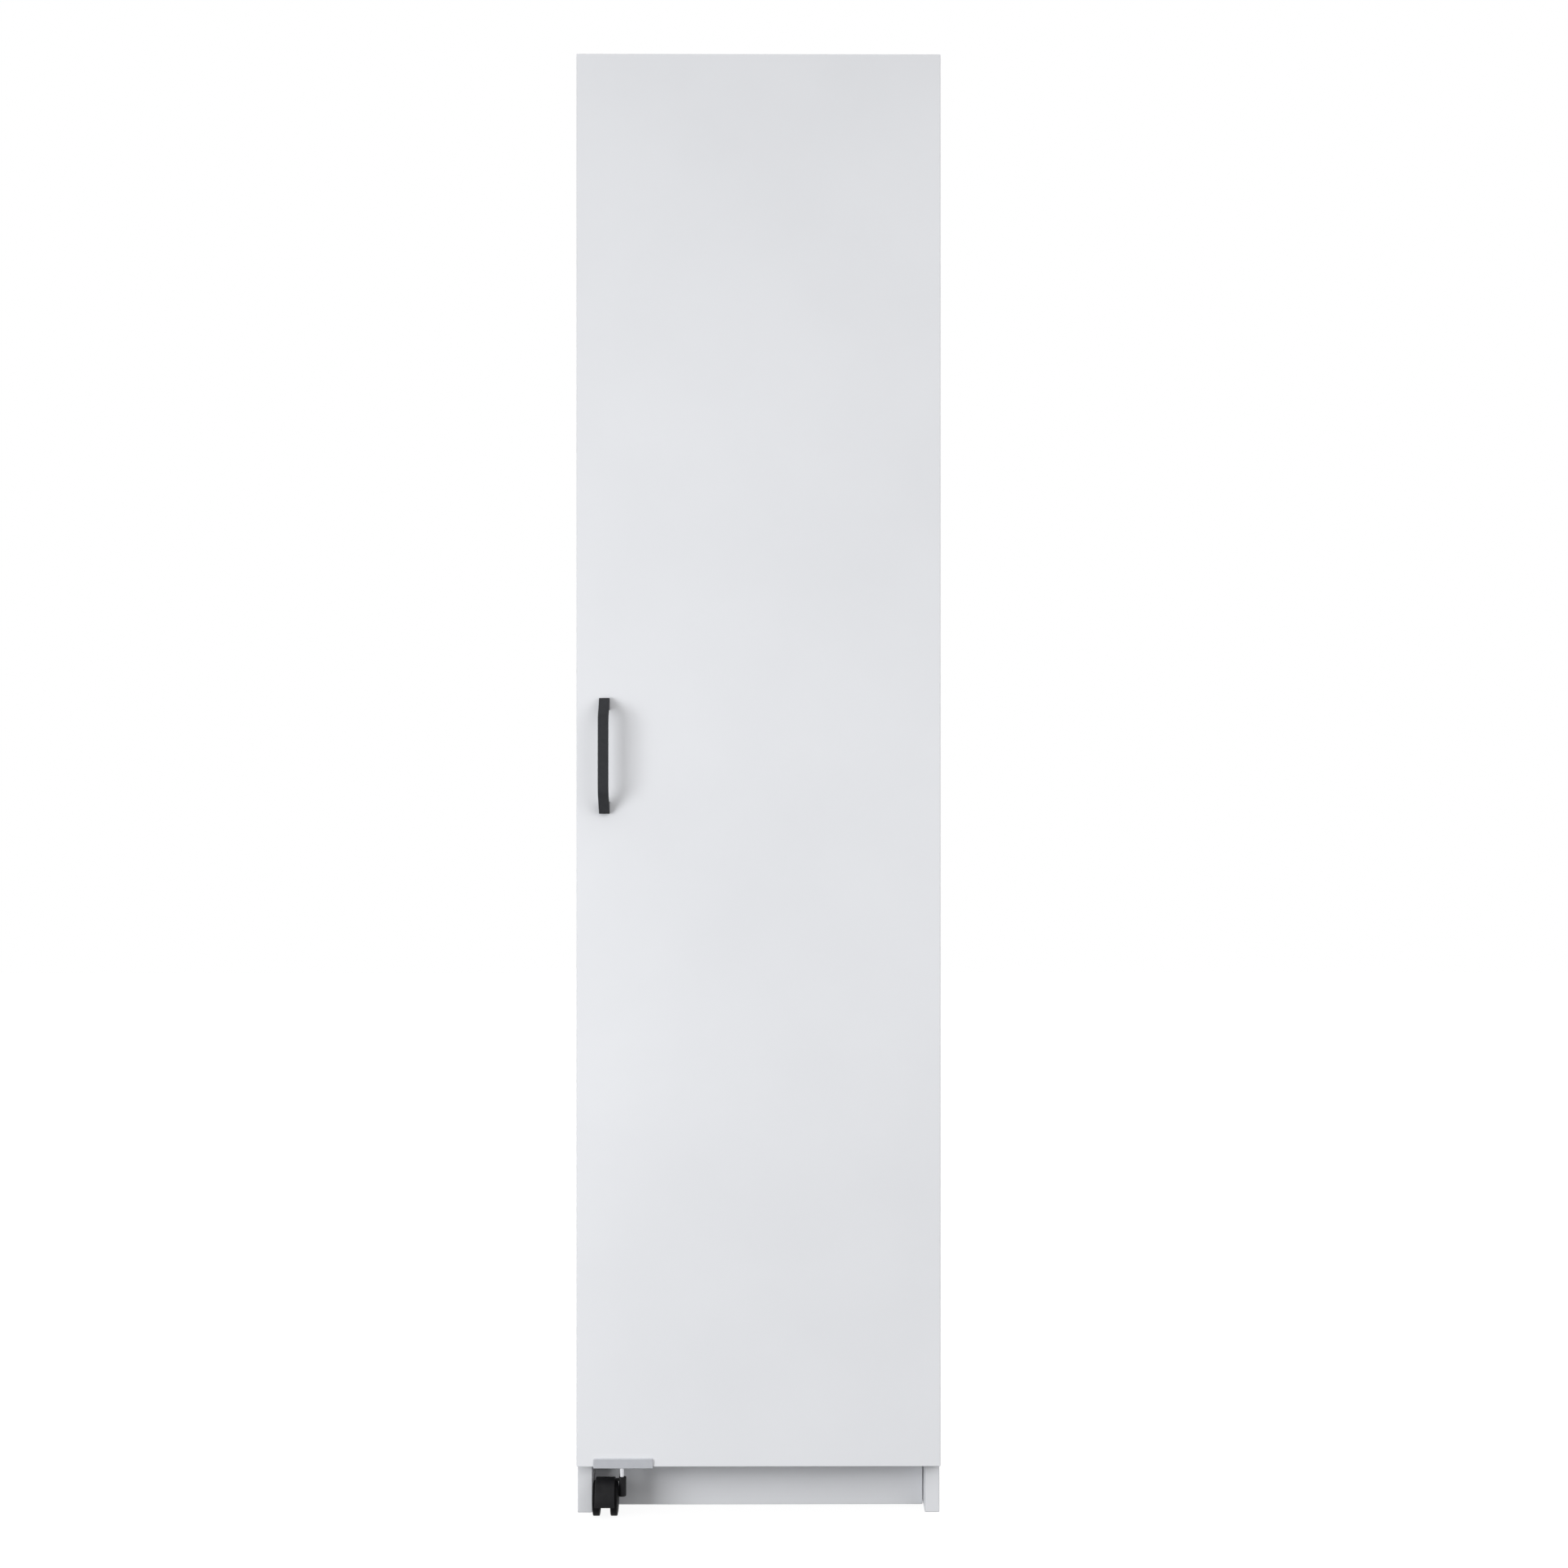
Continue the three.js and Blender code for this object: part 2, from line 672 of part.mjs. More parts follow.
function addRack() {
  const rack = new THREE.Group();
  const backY = seatGap;
  rack.position.set(-innerX + rackSideGap, boardThickness, rackFloor);
  door.add(rack);
  const uprightDepth = [backY, backY + rackDepth];
  const left = block([0, rackBoard], uprightDepth, [0, rackHeight]);
  const right = block([rackWidth - rackBoard, rackWidth], uprightDepth, [0, rackHeight]);
  place(rack, 'rack_left_upright', left, materials.board);
  place(rack, 'rack_right_upright', right, materials.board);
  const between = [rackBoard + seatGap, rackWidth - rackBoard - seatGap];
  const trayDepth = [backY, backY + rackDepth - rackBoard - seatGap];
  const railDepth = [backY + rackDepth - rackBoard, backY + rackDepth];
  const tray = block(between, trayDepth, [0, rackBoard]);
  const rail = block(between, railDepth, [0, trayRailHeight]);
  for (let i = 0; i < trayCount; i += 1) {
    const height = i * (rackHeight - trayRailLift) / trayCount;
    place(rack, `rack_tray_${i + 1}`, tray, materials.board, [0, 0, height]);
    place(rack, `rack_rail_${i + 1}`, rail, materials.board, [0, 0, height]);
  }
  const angle = (side) => {
    const reach = side * (seatGap + rackAngleLeg);
    const against = side * seatGap;
    const wall = side * (seatGap + rackAngleWall);
    const z = [-rackAngleHeight / 2, rackAngleHeight / 2];
    const onDoor = block(
      [Math.min(against, reach), Math.max(against, reach)],
      [backY, backY + rackAngleWall],
      z,
    );
    return onDoor.add(block(
      [Math.min(against, wall), Math.max(against, wall)],
      [backY, backY + rackAngleLeg],
      z,
    ));
  };
  [-1, 1].forEach((side) => ['low', 'high'].forEach((level, i) => {
    const x = side < 0 ? 0 : rackWidth;
    const z = i ? rackHeight - rackAngleInset : rackAngleInset;
    const name = `rack_angle_${side < 0 ? 'left' : 'right'}_${level}`;
    place(rack, name, angle(side), materials.zinc, [x, 0, z]);
  }));
}

// Castor: a channel grips the door's bottom edge, and its stem holds the housing of the twin wheels
const shoeLength = 73.7;
const shoeWall = 1.8;
const shoeClearance = 0.3;
const shoeCorner = 2.5;
const shoeCornerSteps = 4;

function castorShoe() {
  const half = shoeLength / 2;
  const frontY = -boardThickness / 2 - shoeClearance;
  const backY = boardThickness / 2 + shoeClearance;
  const web = block([-half, half], [frontY - shoeWall, backY + shoeWall], [-shoeWall, 0]);
  const flange = new THREE.Shape();
  flange.moveTo(-half, -shoeWall);
  flange.lineTo(half, -shoeWall);
  flange.lineTo(half, shoeGrip - shoeCorner);
  flange.absarc(half - shoeCorner, shoeGrip - shoeCorner, shoeCorner, 0, Math.PI / 2);
  flange.absarc(-half + shoeCorner, shoeGrip - shoeCorner, shoeCorner, Math.PI / 2, Math.PI);
  const wall = new THREE.ExtrudeGeometry(flange, {
    depth: shoeWall,
    bevelEnabled: false,
    curveSegments: shoeCornerSteps,
  });
  wall.applyMatrix4(new THREE.Matrix4().makeBasis(axisX, axisZ, axisY.clone().negate()));
  const front = solid(wall.clone().translate(0, frontY, 0));
  const back = solid(wall.translate(0, backY + shoeWall, 0));
  const screwZ = shoeGrip / 2 + seatGap;
  const screwHoles = [-1, 1].map((side) => {
    const x = side * shoeScrewSpacing / 2;
    return rod(
      shoeScrewRadius + shoeClearance,
      [x, backY - overrun, screwZ],
      [x, backY + shoeWall + overrun, screwZ],
      holeSides,
    );
  });
  const stemHole = rod(
    stemRadius + stemClearance,
    [-shoeOffset, 0, -shoeWall - overrun],
    [-shoeOffset, 0, overrun],
    holeSides,
  );
  return [...screwHoles, stemHole].reduce((made, hole) => made.subtract(hole), web.add(front).add(back));
}

const socketRadius = 5.5;
const socketHeight = 23.5;
const socketStand = 0.5;
const socketFloor = 3;
const hoodGap = 1.5;
const hoodWall = 2.5;
const hoodWidth = 24;
const hoodFrontDrop = 6;
const hoodRearAngle = 38;
const hoodSteps = 14;
const bridgeWidth = 8;
const hubRadius = 8;
const axleRadius = 2;
const axleClearance = 0.25;

// Housing in the castor's own frame: its origin is on the axle, midway between the wheels
function castorHousing() {
  const innerRadius = wheelRadius + hoodGap;
  const outerRadius = innerRadius + hoodWall;
  const frontAngle = Math.PI + Math.asin(hoodFrontDrop / outerRadius);
  const rearAngle = THREE.MathUtils.degToRad(hoodRearAngle);
  const arc = (radius, from, to) => Array.from({ length: hoodSteps + 1 }, (unused, i) => {
    const angle = from + (to - from) * i / hoodSteps;
    return [radius * Math.cos(angle), radius * Math.sin(angle)];
  });
  const hoodOutline = polygon([
    ...arc(outerRadius, rearAngle, frontAngle),
    ...arc(innerRadius, frontAngle, rearAngle),
  ]);
  const webOutline = polygon([[0, 0], ...arc(outerRadius - hoodWall / 2, rearAngle, Math.PI)]);
  const webHalf = wheelGap / 2 - wheelPlay;
  const hood = sweptAlongX(hoodOutline, -hoodWidth / 2, hoodWidth / 2);
  const web = sweptAlongX(webOutline, -webHalf, webHalf);
  const hub = rod(hubRadius, [-webHalf, 0, 0], [webHalf, 0, 0], barSides);
  const socketTop = outerRadius + socketStand;
  const socketZ = socketTop - socketHeight;
  const socket = rod(socketRadius, [stemOffset, 0, socketZ], [stemOffset, 0, socketTop], barSides)
    .intersect(block(
      [socketFlat, stemOffset + socketRadius + overrun],
      [-socketRadius - overrun, socketRadius + overrun],
      [socketZ - overrun, socketTop + overrun],
    ));
  const bridge = sweptAlongX(hoodOutline, hoodWidth / 2 - hoodWall, stemOffset - stemRadius)
    .intersect(block(
      [0, stemOffset],
      [-bridgeWidth / 2, bridgeWidth / 2],
      [0, outerRadius + overrun],
    ));
  const stemBore = rod(
    spigotRadius + stemClearance,
    [stemOffset, 0, socketZ + socketFloor],
    [stemOffset, 0, socketTop + overrun],
    holeSides,
  );
  const axleBore = rod(
    axleRadius + axleClearance,
    [-webHalf - overrun, 0, 0],
    [webHalf + overrun, 0, 0],
    holeSides,
  );
  return hood.add(web).add(hub).add(bridge).add(socket).subtract(stemBore).subtract(axleBore);
}

const rimDepth = 3;
const rimShare = 0.8;
const capShare = 0.45;
const axleSocketFloor = 2;

// One wheel, drawn with its inner face at zero and its domed face outwards
function castorWheel(side) {
  const tread = 0.8;
  const bore = axleRadius + axleClearance;
  const boreEnd = wheelWidth - axleSocketFloor;
  const profile = [
    [0, boreEnd],
    [bore, boreEnd],
    [bore, 0],
    [hubRadius, 0],
    [hubRadius, rimDepth],
    [wheelRadius * rimShare, rimDepth],
    [wheelRadius * rimShare, 0],
    [wheelRadius - tread, 0],
    [wheelRadius, tread],
    [wheelRadius, wheelWidth - tread],
    [wheelRadius - tread, wheelWidth],
    [wheelRadius * rimShare, wheelWidth + domeHeight / 2],
    [wheelRadius * capShare, wheelWidth + domeHeight],
    [0, wheelWidth + domeHeight],
  ];
  return turned(profile, axisX.clone().multiplyScalar(side), wheelSides);
}

// The stem's shoulder stands on the socket, and its thinner spigot goes down into it
function castorStem() {
  const socketTop = 2 * wheelRadius + hoodGap + hoodWall + socketStand;
  const foot = socketTop - socketHeight + socketFloor + stemClearance;
  const shoulder = socketTop + seatGap;
  const top = doorBottom + stemInDoor;
  const profile = [
    [0, foot],
    [spigotRadius, foot],
    [spigotRadius, shoulder],
    [stemRadius, shoulder],
    [stemRadius, top],
    [0, top],
  ];
  return turned(profile, axisZ, holeSides);
}

function addCastor() {
  const castor = new THREE.Group();
  castor.position.set(castorX, castorY, wheelRadius);
  door.add(castor);
  place(castor, 'castor_housing', castorHousing(), materials.blackPlastic);
  const axleHalf = wheelGap / 2 + wheelWidth - axleSocketFloor - axleClearance;
  const axle = rod(axleRadius, [-axleHalf, 0, 0], [axleHalf, 0, 0], holeSides);
  place(castor, 'castor_axle', axle, materials.zinc);
  place(castor, 'castor_wheel_left', castorWheel(-1), materials.blackPlastic, [-wheelGap / 2, 0, 0]);
  place(castor, 'castor_wheel_right', castorWheel(1), materials.blackPlastic, [wheelGap / 2, 0, 0]);
  place(door, 'castor_stem', castorStem(), materials.zinc, [stemX, castorY, 0]);
  place(door, 'castor_shoe', castorShoe(), materials.greyMetal, [shoeX, castorY, doorBottom - seatGap]);
  const headRadius = 3.4;
  const headHeight = 1.8;
  const seatY = boardThickness + shoeClearance + shoeWall + seatGap;
  const screw = panScrew(headRadius, headHeight, shoeScrewRadius, shoeScrewLength, axisY);
  [-1, 1].forEach((side, i) => {
    const spot = [shoeX + side * shoeScrewSpacing / 2, seatY, shoeScrewHeight];
    place(door, `castor_shoe_screw_${i + 1}`, screw, materials.zinc, spot);
  });
}

addCarcassBoards();
addBack();
addUpperShelf();
addHookRail();
addWallBracket();
door.position.set(0, doorFrontY, 0);
addHinges();
place(door, 'door_panel', doorPanel(), materials.board);
addHandle();
addRack();
addCastor();

export default cupboard;
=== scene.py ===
# A tall broom cupboard of white board. One full-height door hangs on cup hinges at its right edge,
# carries a rack on its back and rolls on a twin-wheel castor under its free corner. Metres, Z up, the
# front faces -Y, and the floor is at zero.
import math

import bmesh
import bpy
from mathutils import Matrix, Vector


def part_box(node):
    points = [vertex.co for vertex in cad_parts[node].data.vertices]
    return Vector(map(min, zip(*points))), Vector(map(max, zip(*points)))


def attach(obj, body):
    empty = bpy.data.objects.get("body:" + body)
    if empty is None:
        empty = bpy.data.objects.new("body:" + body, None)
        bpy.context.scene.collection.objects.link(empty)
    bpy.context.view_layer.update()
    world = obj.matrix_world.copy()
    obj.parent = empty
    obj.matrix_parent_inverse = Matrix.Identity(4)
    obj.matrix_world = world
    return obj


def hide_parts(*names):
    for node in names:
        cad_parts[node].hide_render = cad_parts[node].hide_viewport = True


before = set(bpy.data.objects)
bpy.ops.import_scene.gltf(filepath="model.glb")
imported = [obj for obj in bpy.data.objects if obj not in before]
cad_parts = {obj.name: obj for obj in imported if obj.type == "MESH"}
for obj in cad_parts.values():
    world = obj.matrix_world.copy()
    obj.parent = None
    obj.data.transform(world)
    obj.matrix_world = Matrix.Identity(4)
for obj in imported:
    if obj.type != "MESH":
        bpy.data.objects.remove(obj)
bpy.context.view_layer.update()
scene = bpy.context.scene
scene.view_settings.view_transform = "Standard"


# View
# Seen from a little over three metres in front of the door, at half its height and through a long
# lens, so that the boards' edges stay upright and the door stands a little left of the middle.
view_distance = 3.2
view_height = 0.9063
view_aside = 0.0136
view_turn = math.radians(-0.32)
view_lens = 59.415

door_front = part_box("door_panel")[0].y
camera = bpy.data.cameras.new("camera")
camera.lens = view_lens
eye = bpy.data.objects.new("camera", camera)
eye.location = (view_aside, door_front - view_distance, view_height)
eye.rotation_euler = (math.pi / 2, 0, view_turn)
scene.collection.objects.link(eye)
scene.camera = eye


# Studio
# A pale floor that fades into a white wall, a soft lamp at the left, a wider and higher one at the
# right, and light from the room that grows from nothing at the horizon to its full level overhead.
floor_reach = 9.0
floor_tone = (0.1, 0.1, 0.101)
floor_lift = 0.93
ceiling_light = 1.2
ceiling_start = 0.6


def feed(tree, node, inputs):
    """Sets each input of a shader node to its value, or links it to its socket."""
    for name, value in inputs.items():
        if isinstance(value, bpy.types.NodeSocket):
            tree.links.new(value, node.inputs[name])
        else:
            node.inputs[name].default_value = value


def add_node(tree, kind, inputs, **settings):
    """Adds a shader node with its settings and inputs, and gives its outputs."""
    node = tree.nodes.new("ShaderNode" + kind)
    for name, value in settings.items():
        setattr(node, name, value)
    feed(tree, node, inputs)
    return node.outputs


def direct_sight(tree):
    """One for rays that look straight, mirrored or through glass at a surface, nought for its light."""
    rays = add_node(tree, "LightPath", {})
    seen = rays["Is Camera Ray"]
    for kind in ("Is Glossy Ray", "Is Transmission Ray"):
        seen = add_node(tree, "Math", {0: seen, 1: rays[kind]}, operation="MAXIMUM")[0]
    return seen


def light_room():
    world = bpy.data.worlds.new("room")
    world.use_nodes = True
    tree = world.node_tree
    place = add_node(tree, "TexCoord", {})
    up = add_node(tree, "SeparateXYZ", {0: place["Generated"]})["Z"]
    rise = add_node(tree, "MapRange", {"Value": up, "From Max": ceiling_start, "To Max": ceiling_light})
    soft = tree.nodes["Background"]
    feed(tree, soft, {"Color": (1, 1, 1, 1), "Strength": rise["Result"]})
    white = add_node(tree, "Background", {"Color": (1, 1, 1, 1)})
    mix = add_node(tree, "MixShader", {0: direct_sight(tree), 1: soft.outputs[0], 2: white[0]})
    feed(tree, tree.nodes["World Output"], {"Surface": mix[0]})
    scene.world = world


def lay_floor():
    bpy.ops.mesh.primitive_plane_add(size=2 * floor_reach)
    floor = bpy.context.object
    floor.name = "studio_floor"
    paper = bpy.data.materials.new("studio paper")
    paper.use_nodes = True
    tree = paper.node_tree
    matt = tree.nodes["Principled BSDF"]
    feed(tree, matt, {"Base Color": (*floor_tone, 1), "Roughness": 1.0, "Specular IOR Level": 0.0})
    lift = add_node(tree, "Emission", {"Strength": floor_lift})
    both = add_node(tree, "AddShader", {0: matt.outputs[0], 1: lift[0]})
    mix = add_node(tree, "MixShader", {0: direct_sight(tree), 1: matt.outputs[0], 2: both[0]})
    feed(tree, tree.nodes["Material Output"], {"Surface": mix[0]})
    floor.data.materials.append(paper)


def hang_lamp(name, turn, distance, height, size, power, colour):
    """A soft square lamp that looks level at the door from one side, its turn in degrees."""
    turn = math.radians(turn)
    lamp = bpy.data.lights.new(name, "AREA")
    lamp.size = size
    lamp.energy = power
    lamp.color = colour
    holder = bpy.data.objects.new(name, lamp)
    holder.location = (distance * math.sin(turn), door_front - distance * math.cos(turn), height)
    holder.rotation_euler = (math.pi / 2, 0, turn)
    scene.collection.objects.link(holder)


light_room()
lay_floor()
hang_lamp("key lamp", turn=-48, distance=2.8, height=0.6, size=1.4, power=49.0, colour=(0.97, 0.985, 1))
hang_lamp("fill lamp", turn=45, distance=2.6, height=1.45, size=2.2, power=19.5, colour=(1, 1, 1))


# Carcass boards
# Chipboard of 18 mm faced with white melamine, sawn square, with a thin plastic band glued on the
# edges that show. The rear edges stay raw, because the back sheets and the wall cover them.
edge_radius = 0.0009
weld_reach = 0.00001
noise_low = 0.35
noise_high = 0.65
chip_tones = ((0.28, 0.17, 0.08), (0.50, 0.36, 0.20), (0.66, 0.53, 0.34))
chip_grain = 1300.0
chip_stretch = (0.45, 1.0, 0.45)
rearwards = (0, 1, 0)
square_on = 0.9


def own_space(tree, stretch=(1, 1, 1)):
    """The piece's own space, so that a grain moves with the piece that it lies on."""
    place = add_node(tree, "TexCoord", {})
    return add_node(tree, "Mapping", {"Vector": place["Object"], "Scale": stretch})["Vector"]


def noise(tree, scale, detail, stretch=(1, 1, 1)):
    inputs = {"Scale": scale, "Detail": detail, "Vector": own_space(tree, stretch)}
    return add_node(tree, "TexNoise", inputs)[0]


def toned(tree, value, tones, low=noise_low, high=noise_high):
    """Tones spread over a value, from its low to its high."""
    ramp = tree.nodes.new("ShaderNodeValToRGB")
    stops = ramp.color_ramp.elements
    while len(stops) < len(tones):
        stops.new(0.5)
    for i, tone in enumerate(tones):
        stops[i].position = low + (high - low) * i / (len(tones) - 1)
        stops[i].color = (*tone, 1)
    tree.links.new(value, ramp.inputs[0])
    return ramp.outputs["Color"]


def new_finish(
    name, tones, gloss, gloss_grain, tone_grain=None, relief=0, relief_grain=None, metallic=0, shine=0.5,
):
    """A finish whose tones, roughness and relief each follow a grain: its scale, detail and stretch."""
    finish = bpy.data.materials.new(name)
    finish.use_nodes = True
    tree = finish.node_tree
    smooth, rough = gloss
    span = {"From Min": noise_low, "From Max": noise_high, "To Min": smooth, "To Max": rough}
    spread = add_node(tree, "MapRange", {"Value": noise(tree, *gloss_grain), **span})
    look = {"Roughness": spread["Result"], "Metallic": metallic, "Specular IOR Level": shine}
    look["Base Color"] = toned(tree, noise(tree, *tone_grain), tones) if tone_grain else (*tones[0], 1)
    if relief:
        height = noise(tree, *relief_grain)
        bump = add_node(tree, "Bump", {"Strength": 1.0, "Distance": relief, "Height": height})
        look["Normal"] = bump["Normal"]
    feed(tree, tree.nodes["Principled BSDF"], look)
    return finish


def bare_side(tree, direction, bare):
    """Shows a bare colour on the faces that look in a direction, in place of the finish."""
    place = add_node(tree, "TexCoord", {})
    along = add_node(tree, "VectorMath", {0: place["Normal"], 1: direction}, operation="DOT_PRODUCT")
    faces = add_node(tree, "Math", {0: along["Value"], 1: square_on}, operation="GREATER_THAN")
    colour = tree.nodes["Principled BSDF"].inputs["Base Color"]
    inputs = {"Factor": faces[0], 6: colour.links[0].from_socket, 7: bare}
    tree.links.new(add_node(tree, "Mix", inputs, data_type="RGBA")[2], colour)


edge_band = new_finish(
    "edge band",
    tones=((0.70, 0.71, 0.735),),
    gloss=(0.4, 0.5), gloss_grain=(300.0, 2.0),
    shine=0.3,
)
faced_board, carcass_board = (
    new_finish(
        name,
        tones=((0.795, 0.802, 0.825), (0.825, 0.832, 0.855)), tone_grain=(3.5, 4.0),
        gloss=(0.5, 0.58), gloss_grain=(90.0, 3.0),
        relief=0.00003, relief_grain=(1500.0, 2.0),
        shine=0.3,
    )
    for name in ("white melamine", "white melamine, rear edges raw")
)
tree = carcass_board.node_tree
chips = add_node(tree, "TexVoronoi", {"Scale": chip_grain, "Vector": own_space(tree, chip_stretch)})
chip = add_node(tree, "RGBToBW", {0: chips["Color"]})
bare_side(tree, rearwards, toned(tree, chip[0], chip_tones, low=0.15, high=0.85))


def face_board(board, face):
    """Faces a board and eases its edges by the radius of the band."""
    board.data.materials.clear()
    board.data.materials.append(face)
    board.data.materials.append(edge_band)
    corners = board.data.vertices
    spans = [(min(axis), max(axis)) for axis in zip(*(corner.co for corner in corners))]
    outline = board.vertex_groups.new(name="outline")
    for corner in corners:
        at_end = [min(abs(at - end) for end in span) < weld_reach for at, span in zip(corner.co, spans)]
        if sum(at_end) > 1:
            outline.add([corner.index], 1.0, "REPLACE")
    weld = board.modifiers.new("weld", "WELD")
    weld.merge_threshold = weld_reach
    flat = board.modifiers.new("flat faces", "DECIMATE")
    flat.decimate_type = "DISSOLVE"
    flat.angle_limit = math.radians(1)
    ease = board.modifiers.new("eased edges", "BEVEL")
    ease.width = edge_radius
    ease.segments = 4
    ease.limit_method = "VGROUP"
    ease.vertex_group = outline.name
    ease.use_clamp_overlap = False
    ease.vmesh_method = "CUTOFF"
    ease.material = 1
    board.data.shade_flat()


for name in ("left_side", "right_side", "top_panel", "bottom_panel", "fixed_shelf"):
    face_board(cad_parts[name], carcass_board)
face_board(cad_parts["hook_rail"], faced_board)


# Plinth
# A narrow board of the same chipboard, set back under the bottom panel. It is cut a little short, and a
# dark joint shows between each of its ends and the side panel.
plinth_joint = 0.001


def shade(mesh, smooth_below=35):
    """Shades a mesh smooth where its faces meet at less than an angle."""
    mesh.shade_smooth()
    mesh.set_sharp_from_angle(angle=math.radians(smooth_below))


def new_piece(name, bm, finish=None, lie=Matrix()):
    """A closed mesh as an object. lie turns it into its place."""
    mesh = bpy.data.meshes.new(name)
    bm.transform(lie)
    bmesh.ops.recalc_face_normals(bm, faces=bm.faces)
    bm.to_mesh(mesh)
    bm.free()
    shade(mesh)
    if finish:
        mesh.materials.append(finish)
    piece = bpy.data.objects.new(name, mesh)
    scene.collection.objects.link(piece)
    return piece


def skinned(name, rings, finish, lie=Matrix()):
    """A solid through rings of equally many points, closed at its first and its last ring."""
    bm = bmesh.new()
    rings = [[bm.verts.new(point) for point in ring] for ring in rings]
    bm.faces.new(reversed(rings[0]))
    bm.faces.new(rings[-1])
    for before, after in zip(rings, rings[1:]):
        for i, corner in enumerate(before):
            bm.faces.new((before[i - 1], corner, after[i], after[i - 1]))
    return new_piece(name, bm, finish, lie)


def lofted(name, steps, finish, lie=Matrix()):
    """A solid through outlines, each at its own height."""
    rings = [[(*point, height) for point in outline] for outline, height in steps]
    return skinned(name, rings, finish, lie)


def drawn_in(outline, reach):
    """An outline moved inwards by a reach, corner by corner."""
    points = [Vector(point) for point in outline]
    turn = sum(point.cross(after) for point, after in zip(points, points[1:] + points[:1]))
    moved = []
    for i, point in enumerate(points):
        back = (point - points[i - 1]).normalized()
        on = (points[(i + 1) % len(points)] - point).normalized()
        into = [Vector((-run.y, run.x)) * math.copysign(1, turn) for run in (back, on)]
        moved.append(point + (into[0] + into[1]) * reach / (1 + into[0].dot(into[1])))
    return moved


def pressed(name, outline, start, end, finish, lie=Matrix(), ease=0, facets=1):
    """A solid with one outline all along its own Z, its ends eased."""
    turns = [math.pi / 2 * i / facets for i in range(facets + 1)] if ease else [math.pi / 2]
    edge = [(drawn_in(outline, ease * (1 - math.sin(a))), ease * (1 - math.cos(a))) for a in turns]
    steps = [(line, start + depth) for line, depth in edge]
    steps += [(line, end - depth) for line, depth in reversed(edge)]
    return lofted(name, steps, finish, lie)


def rectangle(low, high):
    return [(low[0], low[1]), (high[0], low[1]), (high[0], high[1]), (low[0], high[1])]


low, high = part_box("plinth")
plan = rectangle((low.x + plinth_joint, low.y), (high.x - plinth_joint, high.y))
plinth = pressed("banded_plinth", plan, low.z, high.z, faced_board)
face_board(plinth, faced_board)
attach(plinth, "carcass")
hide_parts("plinth")


# Cam fittings
# Each joint of the carcass is drawn tight by two cams let into the board, 34 mm from its end. All that
# shows of a cam is the white plastic cap pressed over it.
cap_radius = 0.0085
cap_height = 0.0009
cap_rim = 0.0003
cam_inset = 0.034
cam_front = 0.05
cam_rear = 0.06
hands = (("left", -1), ("right", 1))


def turned(profile, steps=40):
    """A solid turned about Z. Its profile is (radius, height) and runs from the axis to the axis."""
    bm = bmesh.new()
    rings = []
    for radius, height in profile:
        turns = [2 * math.pi * i / steps for i in range(steps if radius > 0 else 1)]
        rings.append([bm.verts.new((radius * math.cos(a), radius * math.sin(a), height)) for a in turns])
    for below, above in zip(rings, rings[1:]):
        for i in range(steps):
            j = (i + 1) % steps
            corners = [ring[at % len(ring)] for ring, at in ((below, i), (below, j), (above, j), (above, i))]
            bm.faces.new(list(dict.fromkeys(corners)))
    return bm


def put(piece, name, place, look=(0, 0, 1)):
    """A copy of a piece that shares its mesh, with its own Z turned to look in a direction."""
    copy = bpy.data.objects.new(name, piece.data)
    turn = Vector((0, 0, 1)).rotation_difference(Vector(look)).to_matrix().to_4x4()
    copy.matrix_world = Matrix.Translation(place) @ turn
    scene.collection.objects.link(copy)
    return copy


def scrap(*pieces):
    for piece in pieces:
        bpy.data.objects.remove(piece)


white_plastic = new_finish(
    "white plastic",
    tones=((0.78, 0.785, 0.79),),
    gloss=(0.33, 0.45), gloss_grain=(400.0, 2.0),
    relief=0.00001, relief_grain=(900.0, 2.0),
)
cam_cap = new_piece("cam_cap", turned([
    (0, 0),
    (cap_radius, 0),
    (cap_radius, cap_rim),
    (cap_radius - cap_rim, cap_height - cap_rim / 2),
    (cap_radius - 3 * cap_rim, cap_height),
    (cap_radius / 3, cap_height),
    (cap_radius / 4, cap_height - cap_rim),
    (0, cap_height - cap_rim),
]), white_plastic)
side_low, side_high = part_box("left_side")
shelf_low, shelf_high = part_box("fixed_shelf")
bottom_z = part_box("bottom_panel")[0].z
for hand, side in hands:
    for row, y in (("front", side_low.y + cam_front), ("rear", side_high.y - cam_rear)):
        x = side * (shelf_high.x - cam_inset)
        spots = {
            "top": ((-side * side_high.x, y, side_high.z - cam_inset), (-side, 0, 0)),
            "shelf": ((x, y, shelf_low.z), (0, 0, -1)),
            "bottom": ((x, y, bottom_z), (0, 0, -1)),
        }
        for level, (spot, look) in spots.items():
            cap = put(cam_cap, f"cam_cap_{level}_{hand}_{row}", spot, look)
            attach(cap, "carcass")
scrap(cam_cap)


# Back sheets
# Two sheets of 3 mm hardboard, lacquered white inside and bare brown fibre behind, nailed over the
# rear edges of the carcass with small flat-headed nails. An H strip of white plastic joins them.
fibre_tones = ((0.17, 0.095, 0.05), (0.25, 0.15, 0.085), (0.34, 0.22, 0.13))
fibre_grain = (260.0, 8.0, (1.0, 1.0, 2.4))
nail_radius = 0.0016
nail_height = 0.0004
nail_pitch = 0.115
nail_end = 0.03
board_middle = 0.009

